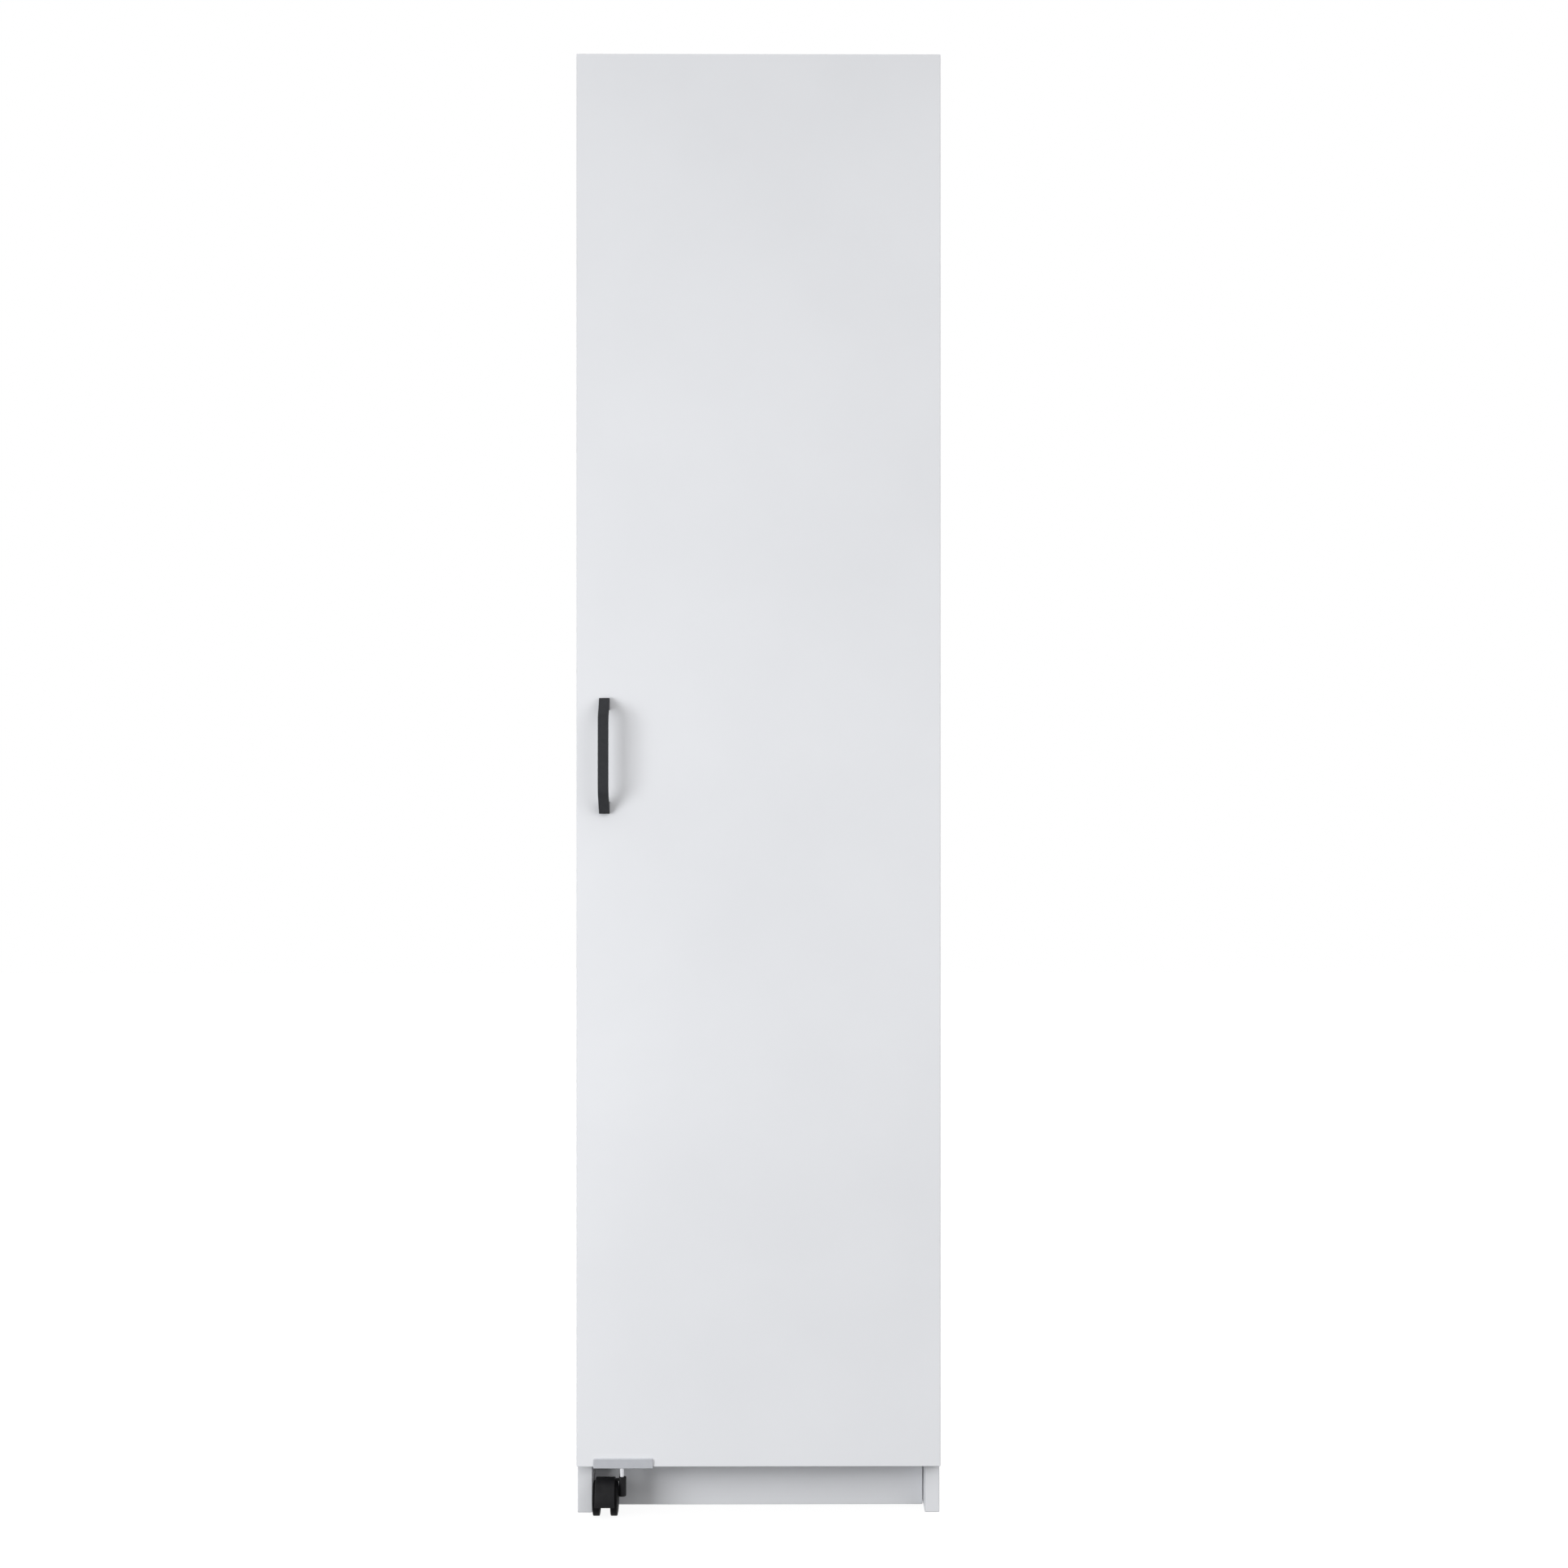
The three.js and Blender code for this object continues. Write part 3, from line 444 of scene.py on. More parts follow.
back_board = new_finish(
    "lacquered hardboard",
    tones=((0.74, 0.745, 0.76), (0.77, 0.775, 0.79)), tone_grain=(5.0, 3.0),
    gloss=(0.45, 0.7), gloss_grain=(120.0, 2.0),
    relief=0.00004, relief_grain=(800.0, 6.0),
)
tree = back_board.node_tree
fibres = noise(tree, *fibre_grain)
bare_side(tree, rearwards, toned(tree, fibres, fibre_tones, low=0.32, high=0.68))
backs = {"back_lower": back_board, "back_upper": back_board, "back_joint_strip": white_plastic}
for name, finish in backs.items():
    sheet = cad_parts[name]
    sheet.data.materials.clear()
    sheet.data.materials.append(finish)

zinc = new_finish(
    "bright zinc",
    tones=((0.56, 0.57, 0.59), (0.65, 0.66, 0.68)), tone_grain=(900.0, 4.0),
    gloss=(0.28, 0.38), gloss_grain=(1400.0, 3.0),
    relief=0.00001, relief_grain=(1600.0, 2.0),
    metallic=1,
)


def nail_heads(name, spots):
    """Nail heads on the rear of a sheet, all in one mesh."""
    rim = ((nail_radius, 0), (nail_radius, nail_height / 2), (nail_radius * 0.8, nail_height))
    bm = bmesh.new()
    for spot in spots:
        lie = Matrix.Translation(spot) @ Matrix.Rotation(-math.pi / 2, 4, "X")
        head = new_piece("nail head", turned(((0, 0), *rim, (0, nail_height)), 14), lie=lie)
        bm.from_mesh(head.data)
        scrap(head)
    return new_piece(name, bm, zinc)


def even_places(start, end):
    count = max(1, round((end - start) / nail_pitch))
    return [start + (end - start) * i / count for i in range(count + 1)]


nail_x = board_middle - side_high.x
across = even_places(-nail_x + nail_end, nail_x - nail_end)
top_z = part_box("top_panel")[0].z
for half, boards in (("lower", (bottom_z,)), ("upper", (top_z, shelf_low.z))):
    low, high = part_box(f"back_{half}")
    rows = even_places(low.z + nail_end, high.z - nail_end)
    spots = [(side * nail_x, high.y, z) for side in (-1, 1) for z in rows]
    spots += [(x, high.y, z + board_middle) for z in boards for x in across]
    nails = nail_heads(f"back_nails_{half}", spots)
    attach(nails, "carcass")


# Adjustable shelf
# The upper shelf lies loose on four plated steel pins. Each pin is turned with a thin collar that
# stops it at the side panel's face, and pushed into one of a row of bores.
pin_radius = 0.0025
pin_depth = 0.009
pin_chamfer = 0.0005
nose_radius = 0.0035
nose_length = 0.008
waist = nose_radius - pin_chamfer
collar = 0.0009

face_board(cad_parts["upper_shelf"], faced_board)
shelf_pin = new_piece("shelf_pin", turned([
    (0, -pin_depth),
    (pin_radius - pin_chamfer, -pin_depth),
    (pin_radius, -pin_depth + pin_chamfer),
    (pin_radius, 0),
    (nose_radius, 0),
    (nose_radius, collar),
    (waist, collar + pin_chamfer),
    (waist, 2 * collar + pin_chamfer),
    (nose_radius, 2 * collar + 2 * pin_chamfer),
    (nose_radius, nose_length - pin_chamfer),
    (waist, nose_length),
    (0, nose_length),
], 32), zinc)
for hand, side in hands:
    for row in ("front", "rear"):
        node = f"shelf_pin_{hand}_{row}"
        low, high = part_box(node)
        middle = (low + high) / 2
        nose = high.x if side < 0 else low.x
        spot = (nose + side * nose_length, middle.y, middle.z)
        pin = put(shelf_pin, f"turned_{node}", spot, (-side, 0, 0))
        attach(pin, "carcass")
        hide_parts(node)
scrap(shelf_pin)


# Broom hooks
# Three hooks on a rail under the fixed shelf. Each is a steel strip bent up at its end and welded to a
# plate with round corners, powder coated black and held by two pan-head screws.
hook_thickness = 0.0032
hook_bend = 0.006
hook_corner = 0.003
hook_tip = 0.0065
hook_edge = 0.0005
hook_rise = 0.026
hook_screw_rises = {"upper": 0.018, "lower": -0.022}
clean_reach = 0.000008
sweep_x = Matrix(((0, 0, 1, 0), (1, 0, 0, 0), (0, 1, 0, 0), (0, 0, 0, 1)))
sweep_y = Matrix(((1, 0, 0, 0), (0, 0, -1, 0), (0, 1, 0, 0), (0, 0, 0, 1)))
black_coat = new_finish(
    "black powder coat",
    tones=((0.032, 0.033, 0.037), (0.042, 0.043, 0.047)), tone_grain=(200.0, 3.0),
    gloss=(0.36, 0.52), gloss_grain=(1500.0, 2.0),
    relief=0.00004, relief_grain=(2200.0, 2.0),
)


def rounded(points, radius, steps=5, closed=True):
    """An outline with arcs in place of its corners. The radius is one for all, or one for each."""
    points = [Vector(point) for point in points]
    radii = radius if isinstance(radius, (list, tuple)) else [radius] * len(points)
    line = []
    for i, corner in enumerate(points):
        if radii[i] == 0 or (not closed and i in (0, len(points) - 1)):
            line.append(corner)
            continue
        back = (points[i - 1] - corner).normalized()
        on = (points[(i + 1) % len(points)] - corner).normalized()
        half = back.angle(on) / 2
        reach = radii[i] / math.tan(half)
        middle = corner + (back + on).normalized() * radii[i] / math.sin(half)
        start = corner + back * reach - middle
        sweep = start.angle_signed(corner + on * reach - middle)
        line += [middle + Matrix.Rotation(-sweep * k / steps, 2) @ start for k in range(steps + 1)]
    return line


def worked(piece, add=(), cut=(), keep=(), smooth_below=35):
    """Fuses solids to a piece, cuts others out of it, or keeps only what it shares with them."""
    for operation, tools in (("UNION", add), ("DIFFERENCE", cut), ("INTERSECT", keep)):
        for tool in tools:
            step = piece.modifiers.new(tool.name, "BOOLEAN")
            step.operation = operation
            step.object = tool
            step.solver = "EXACT"
            clean = piece.modifiers.new("clean", "WELD")
            clean.merge_threshold = clean_reach
    bpy.context.view_layer.update()
    graph = bpy.context.evaluated_depsgraph_get()
    mesh = bpy.data.meshes.new_from_object(piece.evaluated_get(graph))
    shade(mesh, smooth_below)
    piece.modifiers.clear()
    piece.data = mesh
    scrap(*add, *cut, *keep)
    return piece


def pan_screw(name, head, rise, shank, length):
    """A cross-slotted screw along its own Z, its head above zero. Head and shank are radii."""
    rim = rise * 0.35
    turns = [math.pi / 12 * step for step in range(6)]
    screw = new_piece(name, turned([
        (0, -length),
        (shank * 0.3, -length),
        (shank, -length + shank * 1.5),
        (shank, 0),
        (head, 0),
        *[(head * math.cos(turn), rim + (rise - rim) * math.sin(turn)) for turn in turns],
        (0, rise),
    ], 36), zinc)
    reach = head * 0.55
    web = head * 0.16
    slots = []
    for long, short in ((reach, web), (web, reach)):
        steps = []
        for taper, height in ((0.45, 0.15), (1.15, 1.5)):
            corner = Vector((long, short)) * taper
            steps.append((rectangle(-corner, corner), rise * height))
        slots.append(lofted("slot", steps, zinc))
    return worked(screw, cut=slots)


def drive(screw, name, body, spot, look=(0, 0, 1)):
    """Drives a copy of a screw in at a spot. Its head looks in a direction."""
    screw = put(screw, name, spot, look)
    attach(screw, body)
    return screw


def broom_hook(low, high):
    """A hook drawn from its node's box: the plate stands at the rear, and the arm leaves it below."""
    half = (high.x - low.x) / 2
    thick = hook_thickness / 2
    front = high.y - hook_thickness
    tip = low.y + thick
    arm_z = (low.z + high.z) / 2 - (high.z - low.z) / 4
    top = arm_z + hook_rise
    face = rounded(rectangle((low.x, low.z), (high.x, high.z)), hook_corner)
    plate = pressed("hook", face, -high.y, -front, black_coat, sweep_y, hook_edge)
    under = [(front + thick, arm_z - thick), (tip - thick, arm_z - thick), (tip - thick, top)]
    over = [(tip + thick, top), (tip + thick, arm_z + thick), (front + thick, arm_z + thick)]
    bends = (0, hook_bend + thick, 0, 0, hook_bend - thick, 0)
    arm = pressed("arm", rounded(under + over, bends, 8), low.x, high.x, black_coat, sweep_x, hook_edge)
    tips = rounded(rectangle((low.x, arm_z - half), (high.x, top)), (0, 0, hook_tip, hook_tip), 8)
    trim = pressed("trim", tips, -front - thick, -tip + 2 * thick, black_coat, sweep_y)
    return worked(plate, add=[worked(arm, keep=[trim])])


hook_screw = pan_screw("hook_screw", head=0.0034, rise=0.0018, shank=0.0018, length=0.012)
for number in (1, 2, 3):
    node = f"broom_hook_{number}"
    low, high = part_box(node)
    middle = (low + high) / 2
    hook = broom_hook(low, high)
    hook.name = f"bent_hook_{number}"
    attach(hook, "carcass")
    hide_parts(node)
    for level, rise in hook_screw_rises.items():
        spot = (middle.x, high.y - hook_thickness, middle.z + rise)
        drive(hook_screw, f"hook_screw_{number}_{level}", "carcass", spot, (0, -1, 0))
scrap(hook_screw)


# Wall bracket
# A zinc-plated angle of 2 mm steel with two holes in each leg. Two screws hold it to the top panel,
# and the two holes that stand up take the wall screws.
bracket_wall = 0.002
bracket_bend = 0.003
bracket_corner = 0.004
bracket_hole = 0.0025


def peg(name, radius, start, end, finish, lie=Matrix(), steps=40):
    """A plain round solid along its own Z, as a shank or to drill with."""
    return new_piece(name, turned([(0, start), (radius, start), (radius, end), (0, end)], steps), finish, lie)


def folded_angle(leg, length, wall, bend, corner, hole, offsets):
    """A steel angle folded along Z, its heel at the origin and its legs along +X and +Y."""
    half = length / 2
    section = [(0, 0), (leg, 0), (leg, wall), (wall, wall), (wall, leg), (0, leg)]
    iron = pressed("angle", rounded(section, (bend, 0, 0, bend - wall, 0, 0), 6), -half, half, zinc)
    face = rounded(rectangle((0, -half), (leg, half)), (0, corner, corner, 0))
    iron = worked(iron, keep=[
        pressed("front", face, -leg, 0, zinc, sweep_y),
        pressed("aside", face, 0, leg, zinc, sweep_x),
    ])
    reach = (leg + wall) / 2
    drills = []
    for offset in offsets:
        lie = Matrix.Translation((reach, 0, offset)) @ sweep_y
        drills.append(peg("drill", hole, -2 * wall, wall, zinc, lie, 24))
        lie = Matrix.Translation((0, reach, offset)) @ sweep_x
        drills.append(peg("drill", hole, -wall, 2 * wall, zinc, lie, 24))
    return worked(iron, cut=drills)


low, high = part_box("wall_bracket")
middle = (low + high) / 2
leg = high.z - low.z
spread = (high.x - low.x) / 4
bracket = folded_angle(
    leg, high.x - low.x, bracket_wall, bracket_bend, bracket_corner, bracket_hole, (-spread, spread),
)
heel = Matrix(((0, 0, -1, middle.x), (-1, 0, 0, high.y), (0, 1, 0, low.z), (0, 0, 0, 1)))
bracket.data.transform(heel)
bracket.name = "folded_wall_bracket"
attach(bracket, "carcass")
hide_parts("wall_bracket")
bracket_screw = pan_screw("bracket_screw", head=0.0038, rise=0.002, shank=0.002, length=0.014)
for hand, side in hands:
    spot = (middle.x + side * spread, high.y - (leg + bracket_wall) / 2, low.z + bracket_wall)
    drive(bracket_screw, f"bracket_screw_{hand}", "carcass", spot)
scrap(bracket_screw)


# Hinge plates
# A cross-shaped plate for each hinge, pressed from nickel-plated steel and held to the right side
# panel by two screws through its wings. The hinge arm slides over its raised middle.
hinges = (1, 2, 3, 4)
plate_thickness = 0.002
wing_width = 0.015
wing_corner = 0.0055
core_half = 0.0046
core_corner = 0.0015
plate_hole = 0.0026
plate_screw_spacing = 0.032
levels = (("lower", -1), ("upper", 1))
nickel = new_finish(
    "satin nickel",
    tones=((0.52, 0.51, 0.49), (0.68, 0.67, 0.65)), tone_grain=(350.0, 4.0),
    gloss=(0.24, 0.36), gloss_grain=(900.0, 3.0, (1.0, 1.0, 0.2)),
    relief=0.00001, relief_grain=(1400.0, 2.0),
    metallic=1,
)


def hinge_plate(low, high):
    """A plate drawn in its node's place, and moved to the origin at the end."""
    middle = (low + high) / 2
    wings = rectangle((middle.y - wing_width / 2, low.z), (middle.y + wing_width / 2, high.z))
    core = rectangle((low.y, middle.z - core_half), (high.y, middle.z + core_half))
    wings = rounded(wings, wing_corner, 8)
    plate = pressed("hinge_plate", wings, high.x - plate_thickness, high.x, nickel, sweep_x)
    core = pressed("core", rounded(core, core_corner), low.x, high.x, nickel, sweep_x)
    plate = worked(plate, add=[core])
    drills = []
    for side in (-1, 1):
        lie = Matrix.Translation((high.x, middle.y, middle.z + side * plate_screw_spacing / 2)) @ sweep_x
        drills.append(peg("drill", plate_hole, -2 * plate_thickness, plate_thickness, nickel, lie))
    plate = worked(plate, cut=drills)
    plate.data.transform(Matrix.Translation(-middle))
    return plate


plate_mesh = hinge_plate(*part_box("hinge_plate_1"))
plate_screw = pan_screw("plate_screw", head=0.0036, rise=0.0018, shank=0.0018, length=0.013)
for number in hinges:
    node = f"hinge_plate_{number}"
    low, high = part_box(node)
    middle = (low + high) / 2
    plate = put(plate_mesh, f"pressed_plate_{number}", middle)
    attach(plate, "carcass")
    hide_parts(node)
    for level, side in levels:
        spot = (high.x - plate_thickness, middle.y, middle.z + side * plate_screw_spacing / 2)
        drive(plate_screw, f"plate_screw_{number}_{level}", "carcass", spot, (-1, 0, 0))
scrap(plate_mesh, plate_screw)


# Hinge arms
# Each arm is folded from nickel-plated steel strip: a channel over the mounting plate, and a narrow
# swan neck that reaches round into the door's cup. Two screws in it set the door's gap and depth.
arm_wall = 0.0016
arm_fold = 0.0018
arm_cheek = 0.0075
arm_length = 0.058
arm_slot = ((0.040, -0.0022), (0.052, 0.0022))
arm_slot_corner = 0.0021
neck_bend = 0.0042
neck_width = 0.0058
neck_run = 0.0152
neck_mouth = 0.0112
eye_radius = 0.002
eye_bore = 0.00125
arm_screws = {"gap": 0.033, "depth": 0.062}


def ribbon(name, line, half_widths, thickness, finish):
    """A bent strip along a line in the XY plane, its half width given at each point."""
    rings = []
    for i, (point, half) in enumerate(zip(line, half_widths)):
        run = (line[min(i + 1, len(line) - 1)] - line[max(i - 1, 0)]).normalized()
        across = Vector((-run.y, run.x)) * thickness / 2
        near, far = point - across, point + across
        rings.append([(*far, half), (*near, half), (*near, -half), (*far, -half)])
    return skinned(name, rings, finish)


def hinge_arm(low, high, pin):
    """An arm about its pin, which is the origin: +X is the hinge side and +Y goes into the cupboard."""
    face = low.x - pin.x
    reach = high.y - pin.y
    start = reach - arm_length
    web = face + arm_wall / 2
    line = [(0, 0), (-neck_run, 0), (-neck_run, neck_mouth), (web, start + neck_bend)]
    line = rounded([*line, (web, start + 3 * neck_bend)], neck_bend * 0.8, 7, closed=False)
    half = (high.z - low.z) / 2
    half_widths = []
    for point in line:
        share = min(1.0, max(0.0, (point.y - neck_mouth) / (start - neck_mouth)))
        half_widths.append(neck_width / 2 + (half - neck_width / 2) * share * share * (3 - 2 * share))
    inner = half - arm_wall
    floor = face + arm_wall
    lip = face + arm_cheek
    section = [
        (lip, -half), (lip, -inner), (floor, -inner), (floor, inner),
        (lip, inner), (lip, half), (face, half), (face, -half),
    ]
    radii = (0, 0, arm_fold - arm_wall, arm_fold - arm_wall, 0, 0, arm_fold, arm_fold)
    neck = ribbon("hinge_arm", line, half_widths, arm_wall, nickel)
    channel = pressed("channel", rounded(section, radii), -reach, -start, nickel, sweep_y)
    eye = peg("eye", eye_radius, -neck_width / 2, neck_width / 2, nickel)
    drill = peg("drill", eye_bore, -half, half, nickel)
    slot = rounded(rectangle(*arm_slot), arm_slot_corner, 6)
    slot = pressed("slot", slot, face - arm_wall, face + 2 * arm_wall, nickel, sweep_x)
    return worked(worked(neck, add=[channel, eye]), cut=[drill, slot])


pin_places = [sum(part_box(f"hinge_pin_{number}"), Vector()) / 2 for number in hinges]
arm_low, arm_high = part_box("hinge_arm_1")
arm_mesh = hinge_arm(arm_low, arm_high, pin_places[0])
arm_screw = pan_screw("arm_screw", head=0.0034, rise=0.0014, shank=0.0016, length=0.006)
for number, place in zip(hinges, pin_places):
    arm = put(arm_mesh, f"folded_arm_{number}", place)
    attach(arm, "carcass")
    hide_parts(f"hinge_arm_{number}")
    for use, along in arm_screws.items():
        spot = place + Vector((arm_low.x - pin_places[0].x, along, 0))
        drive(arm_screw, f"{use}_screw_{number}", "carcass", spot, (-1, 0, 0))
scrap(arm_mesh, arm_screw)


# Door panel
# One full-height slab of the same 18 mm board, banded on all four edges. It overlays the carcass and
# is bored from behind for its hinge cups, the handle screws and the castor's stem.
face_board(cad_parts["door_panel"], faced_board)


# Hinge cups
# Each cup is drawn from nickel-plated sheet, pressed into a 35 mm bore in the door's back and held
# through its flange by two screws. Two lugs inside it carry a riveted steel pin.
cup_radius = 0.0175
cup_wall = 0.0008
cup_edge = 0.0012
cup_rim = 0.0003
cup_offset = 0.0141
flange_half = 0.011
flange_corner = 0.0065
flange_thickness = 0.0012
flange_drop = 0.0001
cup_screw_reach = 0.0238
lug_front = -0.0028
lug_back = 0.0019
lug_top = 0.002
lug_corner = 0.0018
lug_faces = (0.0034, 0.0064)
lug_bore = 0.0011


def hinge_cup(low, high, pin):
    """A cup about its pin, which is the origin: +X is the hinge side and +Y comes out of the door."""
    floor = low.y - pin.y
    inner_floor = floor + cup_wall
    top = high.y - pin.y
    half = (high.z - low.z) / 2
    stand = Matrix.Translation((-cup_offset, 0, 0)) @ Matrix.Rotation(-math.pi / 2, 4, "X")
    cup = [(0, floor), (cup_radius, floor), (cup_radius, top), (0, top)]
    cup = new_piece("hinge_cup", turned(rounded(cup, (0, cup_edge, cup_rim, 0)), 64), nickel, stand)
    inside = cup_radius - cup_wall
    hollow = [(0, inner_floor), (inside, inner_floor), (inside, top + cup_wall), (0, top + cup_wall)]
    hollow = new_piece("hollow", turned(rounded(hollow, (0, cup_edge, 0, 0)), 64), nickel, stand)
    flange = rectangle((-cup_offset - flange_half, -half), (-cup_offset + flange_half, half))
    seat = flange_drop - top
    flange = rounded(flange, flange_corner, 8)
    flange = pressed("flange", flange, seat, seat + flange_thickness, nickel, sweep_y)
    cup = worked(cup, add=[flange], cut=[hollow])
    lug = rectangle((lug_front, floor + cup_wall / 2), (lug_back, lug_top))
    lug = rounded(lug, (0, 0, 0, lug_corner), 6)
    lugs = [pressed("lug", lug, *sorted(side * face for face in lug_faces), nickel) for side in (-1, 1)]
    bore = peg("bore", lug_bore, -half, half, nickel, steps=24)
    return worked(cup, add=lugs, cut=[bore])


def rod(name, radius, half, chamfer, steps):
    """A plain zinc-plated rod along its own Z, about its middle, with its ends chamfered."""
    upper = [(radius, half - chamfer), (radius - chamfer, half), (0, half)]
    lower = [(r, -z) for r, z in reversed(upper)]
    return new_piece(name, turned(lower + upper, steps), zinc)


cup_low, cup_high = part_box("hinge_cup_1")
cup_mesh = hinge_cup(cup_low, cup_high, pin_places[0])
pin_low, pin_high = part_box("hinge_pin_1")
rivet = (pin_high.x - pin_low.x) / 2
pin_mesh = rod("hinge_pin", rivet, (pin_high.z - pin_low.z) / 2, chamfer=rivet * 0.3, steps=24)
cup_screw = pan_screw("cup_screw", head=0.0036, rise=0.0016, shank=0.0017, length=0.013)
for number, place in zip(hinges, pin_places):
    cup = put(cup_mesh, f"drawn_cup_{number}", place)
    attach(cup, "door")
    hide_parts(f"hinge_cup_{number}")
    pin = put(pin_mesh, f"riveted_pin_{number}", place)
    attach(pin, "door")
    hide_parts(f"hinge_pin_{number}")
    for level, side in levels:
        spot = place + Vector((-cup_offset, cup_high.y - pin_places[0].y, side * cup_screw_reach))
        drive(cup_screw, f"cup_screw_{number}_{level}", "door", spot, (0, 1, 0))
scrap(cup_mesh, pin_mesh, cup_screw)


# Handle
# A bow pressed from a flat steel bar and powder coated black. Its legs slant at half a right angle to a
# straight grip, and a screw from behind the door goes into each foot.
grip = 0.005
foot_length = 0.015
end_rise = 0.005
bow_fillet = 0.0193
boss_fillet = 0.0015
end_fillet = 0.0012
bow_edge = 0.0007
socket_depth = 0.009
socket_radius = 0.0021
bow_screw_rise = 0.002
handle_black = new_finish(
    "handle powder coat",
    tones=((0.016, 0.017, 0.02), (0.02, 0.021, 0.024)), tone_grain=(180.0, 3.0),
    gloss=(0.42, 0.56), gloss_grain=(1200.0, 2.0),
    relief=0.00004, relief_grain=(2000.0, 2.0),
    shine=0.25,
)


def bow_handle(low, high, hole_half):
    """The bow, drawn from its box. Its outline is (depth, rise) as seen from the side."""
    middle = (low.z + high.z) / 2
    half = (high.z - low.z) / 2
    reach = door_front - low.y
    foot = door_front - high.y
    slant = grip * math.sqrt(2)
    outer = half + end_rise - reach
    inner_foot = half - foot_length
    upper = [
        (reach - grip, outer + grip - slant, bow_fillet),
        (half + end_rise - inner_foot - slant, inner_foot, boss_fillet),
        (foot, inner_foot, 0),
        (foot, half, 0),
        (end_rise, half, end_fillet),
        (reach, outer, bow_fillet),
    ]
    corners = upper + [(depth, -rise, radius) for depth, rise, radius in reversed(upper)]
    places = [(door_front - depth, middle + rise) for depth, rise, radius in corners]
    outline = rounded(places, [radius for depth, rise, radius in corners], 10)
    bow = pressed("bow_handle", outline, low.x, high.x, handle_black, sweep_x, bow_edge, 3)
    sockets = []
    for side in (-1, 1):
        lie = Matrix.Translation(((low.x + high.x) / 2, high.y, middle + side * hole_half)) @ sweep_y
        sockets.append(peg("socket", socket_radius, -socket_depth, socket_depth, handle_black, lie, 20))
    return worked(bow, cut=sockets, smooth_below=12)


handle_low, handle_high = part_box("handle")
screw_low, screw_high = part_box("handle_screw_1")
hole_half = abs(screw_low.z + screw_high.z - handle_low.z - handle_high.z) / 2
bow = bow_handle(handle_low, handle_high, hole_half)
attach(bow, "door")
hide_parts("handle")
length = screw_high.y - screw_low.y - bow_screw_rise
bow_screw = pan_screw("bow_screw", head=0.004, rise=bow_screw_rise, shank=0.0019, length=length)
for number in (1, 2):
    low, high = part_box(f"handle_screw_{number}")
    spot = ((low.x + high.x) / 2, high.y - bow_screw_rise, (low.z + high.z) / 2)
    screw = drive(bow_screw, f"bow_screw_{number}", "door", spot, (0, 1, 0))
    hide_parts(f"handle_screw_{number}")
scrap(bow_screw)


# Door rack
# A narrow rack of 12 mm white board on the door's back: two uprights, three trays and a rail in front of
# each. Four small steel angles hold it to the door, one screw in each leg.
rack_angle_wall = 0.0015
rack_angle_bend = 0.0022
rack_angle_corner = 0.003
rack_angle_hole = 0.0019

for part in ("left_upright", "right_upright", "tray_1", "tray_2", "tray_3", "rail_1", "rail_2", "rail_3"):
    face_board(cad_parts[f"rack_{part}"], faced_board)

rack_screw = pan_screw("rack_screw", head=0.003, rise=0.0016, shank=0.0016, length=0.01)
for hand, side in hands:
    for level in ("low", "high"):
        node = f"rack_angle_{hand}_{level}"
        low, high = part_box(node)
        leg = high.y - low.y
        corner_x = high.x if side < 0 else low.x
        iron = folded_angle(
            leg, high.z - low.z, rack_angle_wall, rack_angle_bend, rack_angle_corner, rack_angle_hole, (0,),
        )
        heel = Matrix.Translation((corner_x, low.y, (low.z + high.z) / 2))
        heel @= Matrix.Diagonal((side, 1, side, 1))
        iron.data.transform(heel)
        iron.name = f"folded_{node}"
        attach(iron, "door")
        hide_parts(node)
        reach = (leg + rack_angle_wall) / 2
        legs = {
            "door": ((reach, rack_angle_wall, 0), (0, 1, 0)),
            "upright": ((rack_angle_wall, reach, 0), (side, 0, 0)),
        }
        for use, (spot, look) in legs.items():
            drive(rack_screw, f"rack_screw_{hand}_{level}_{use}", "door", heel @ Vector(spot), look)
scrap(rack_screw)


# Castor shoe
# A channel folded from pale grey coated steel, ground to a bevel along its top and left edges. It
# grips the door's bottom edge at the free corner, and two screws hold it from behind.
shoe_wall = 0.0018
shoe_corners = (0.0004, 0.0004, 0.0025, 0.0025)
shoe_face_corners = (0.0002, 0.0002, 0.0015, 0.0015)
shoe_bevel = 0.0011
shoe_bevel_right = 0.0003
shoe_foot = 0.0006
shoe_hole = 0.00205
shoe_screw_rise = 0.0018
stem_clearance = 0.0003
shoe_grey = new_finish(
    "pale grey coat",
    tones=((0.47, 0.48, 0.51), (0.49, 0.5, 0.53)), tone_grain=(120.0, 3.0),
    gloss=(0.34, 0.48), gloss_grain=(700.0, 2.0),
    relief=0.00002, relief_grain=(1300.0, 2.0),
)


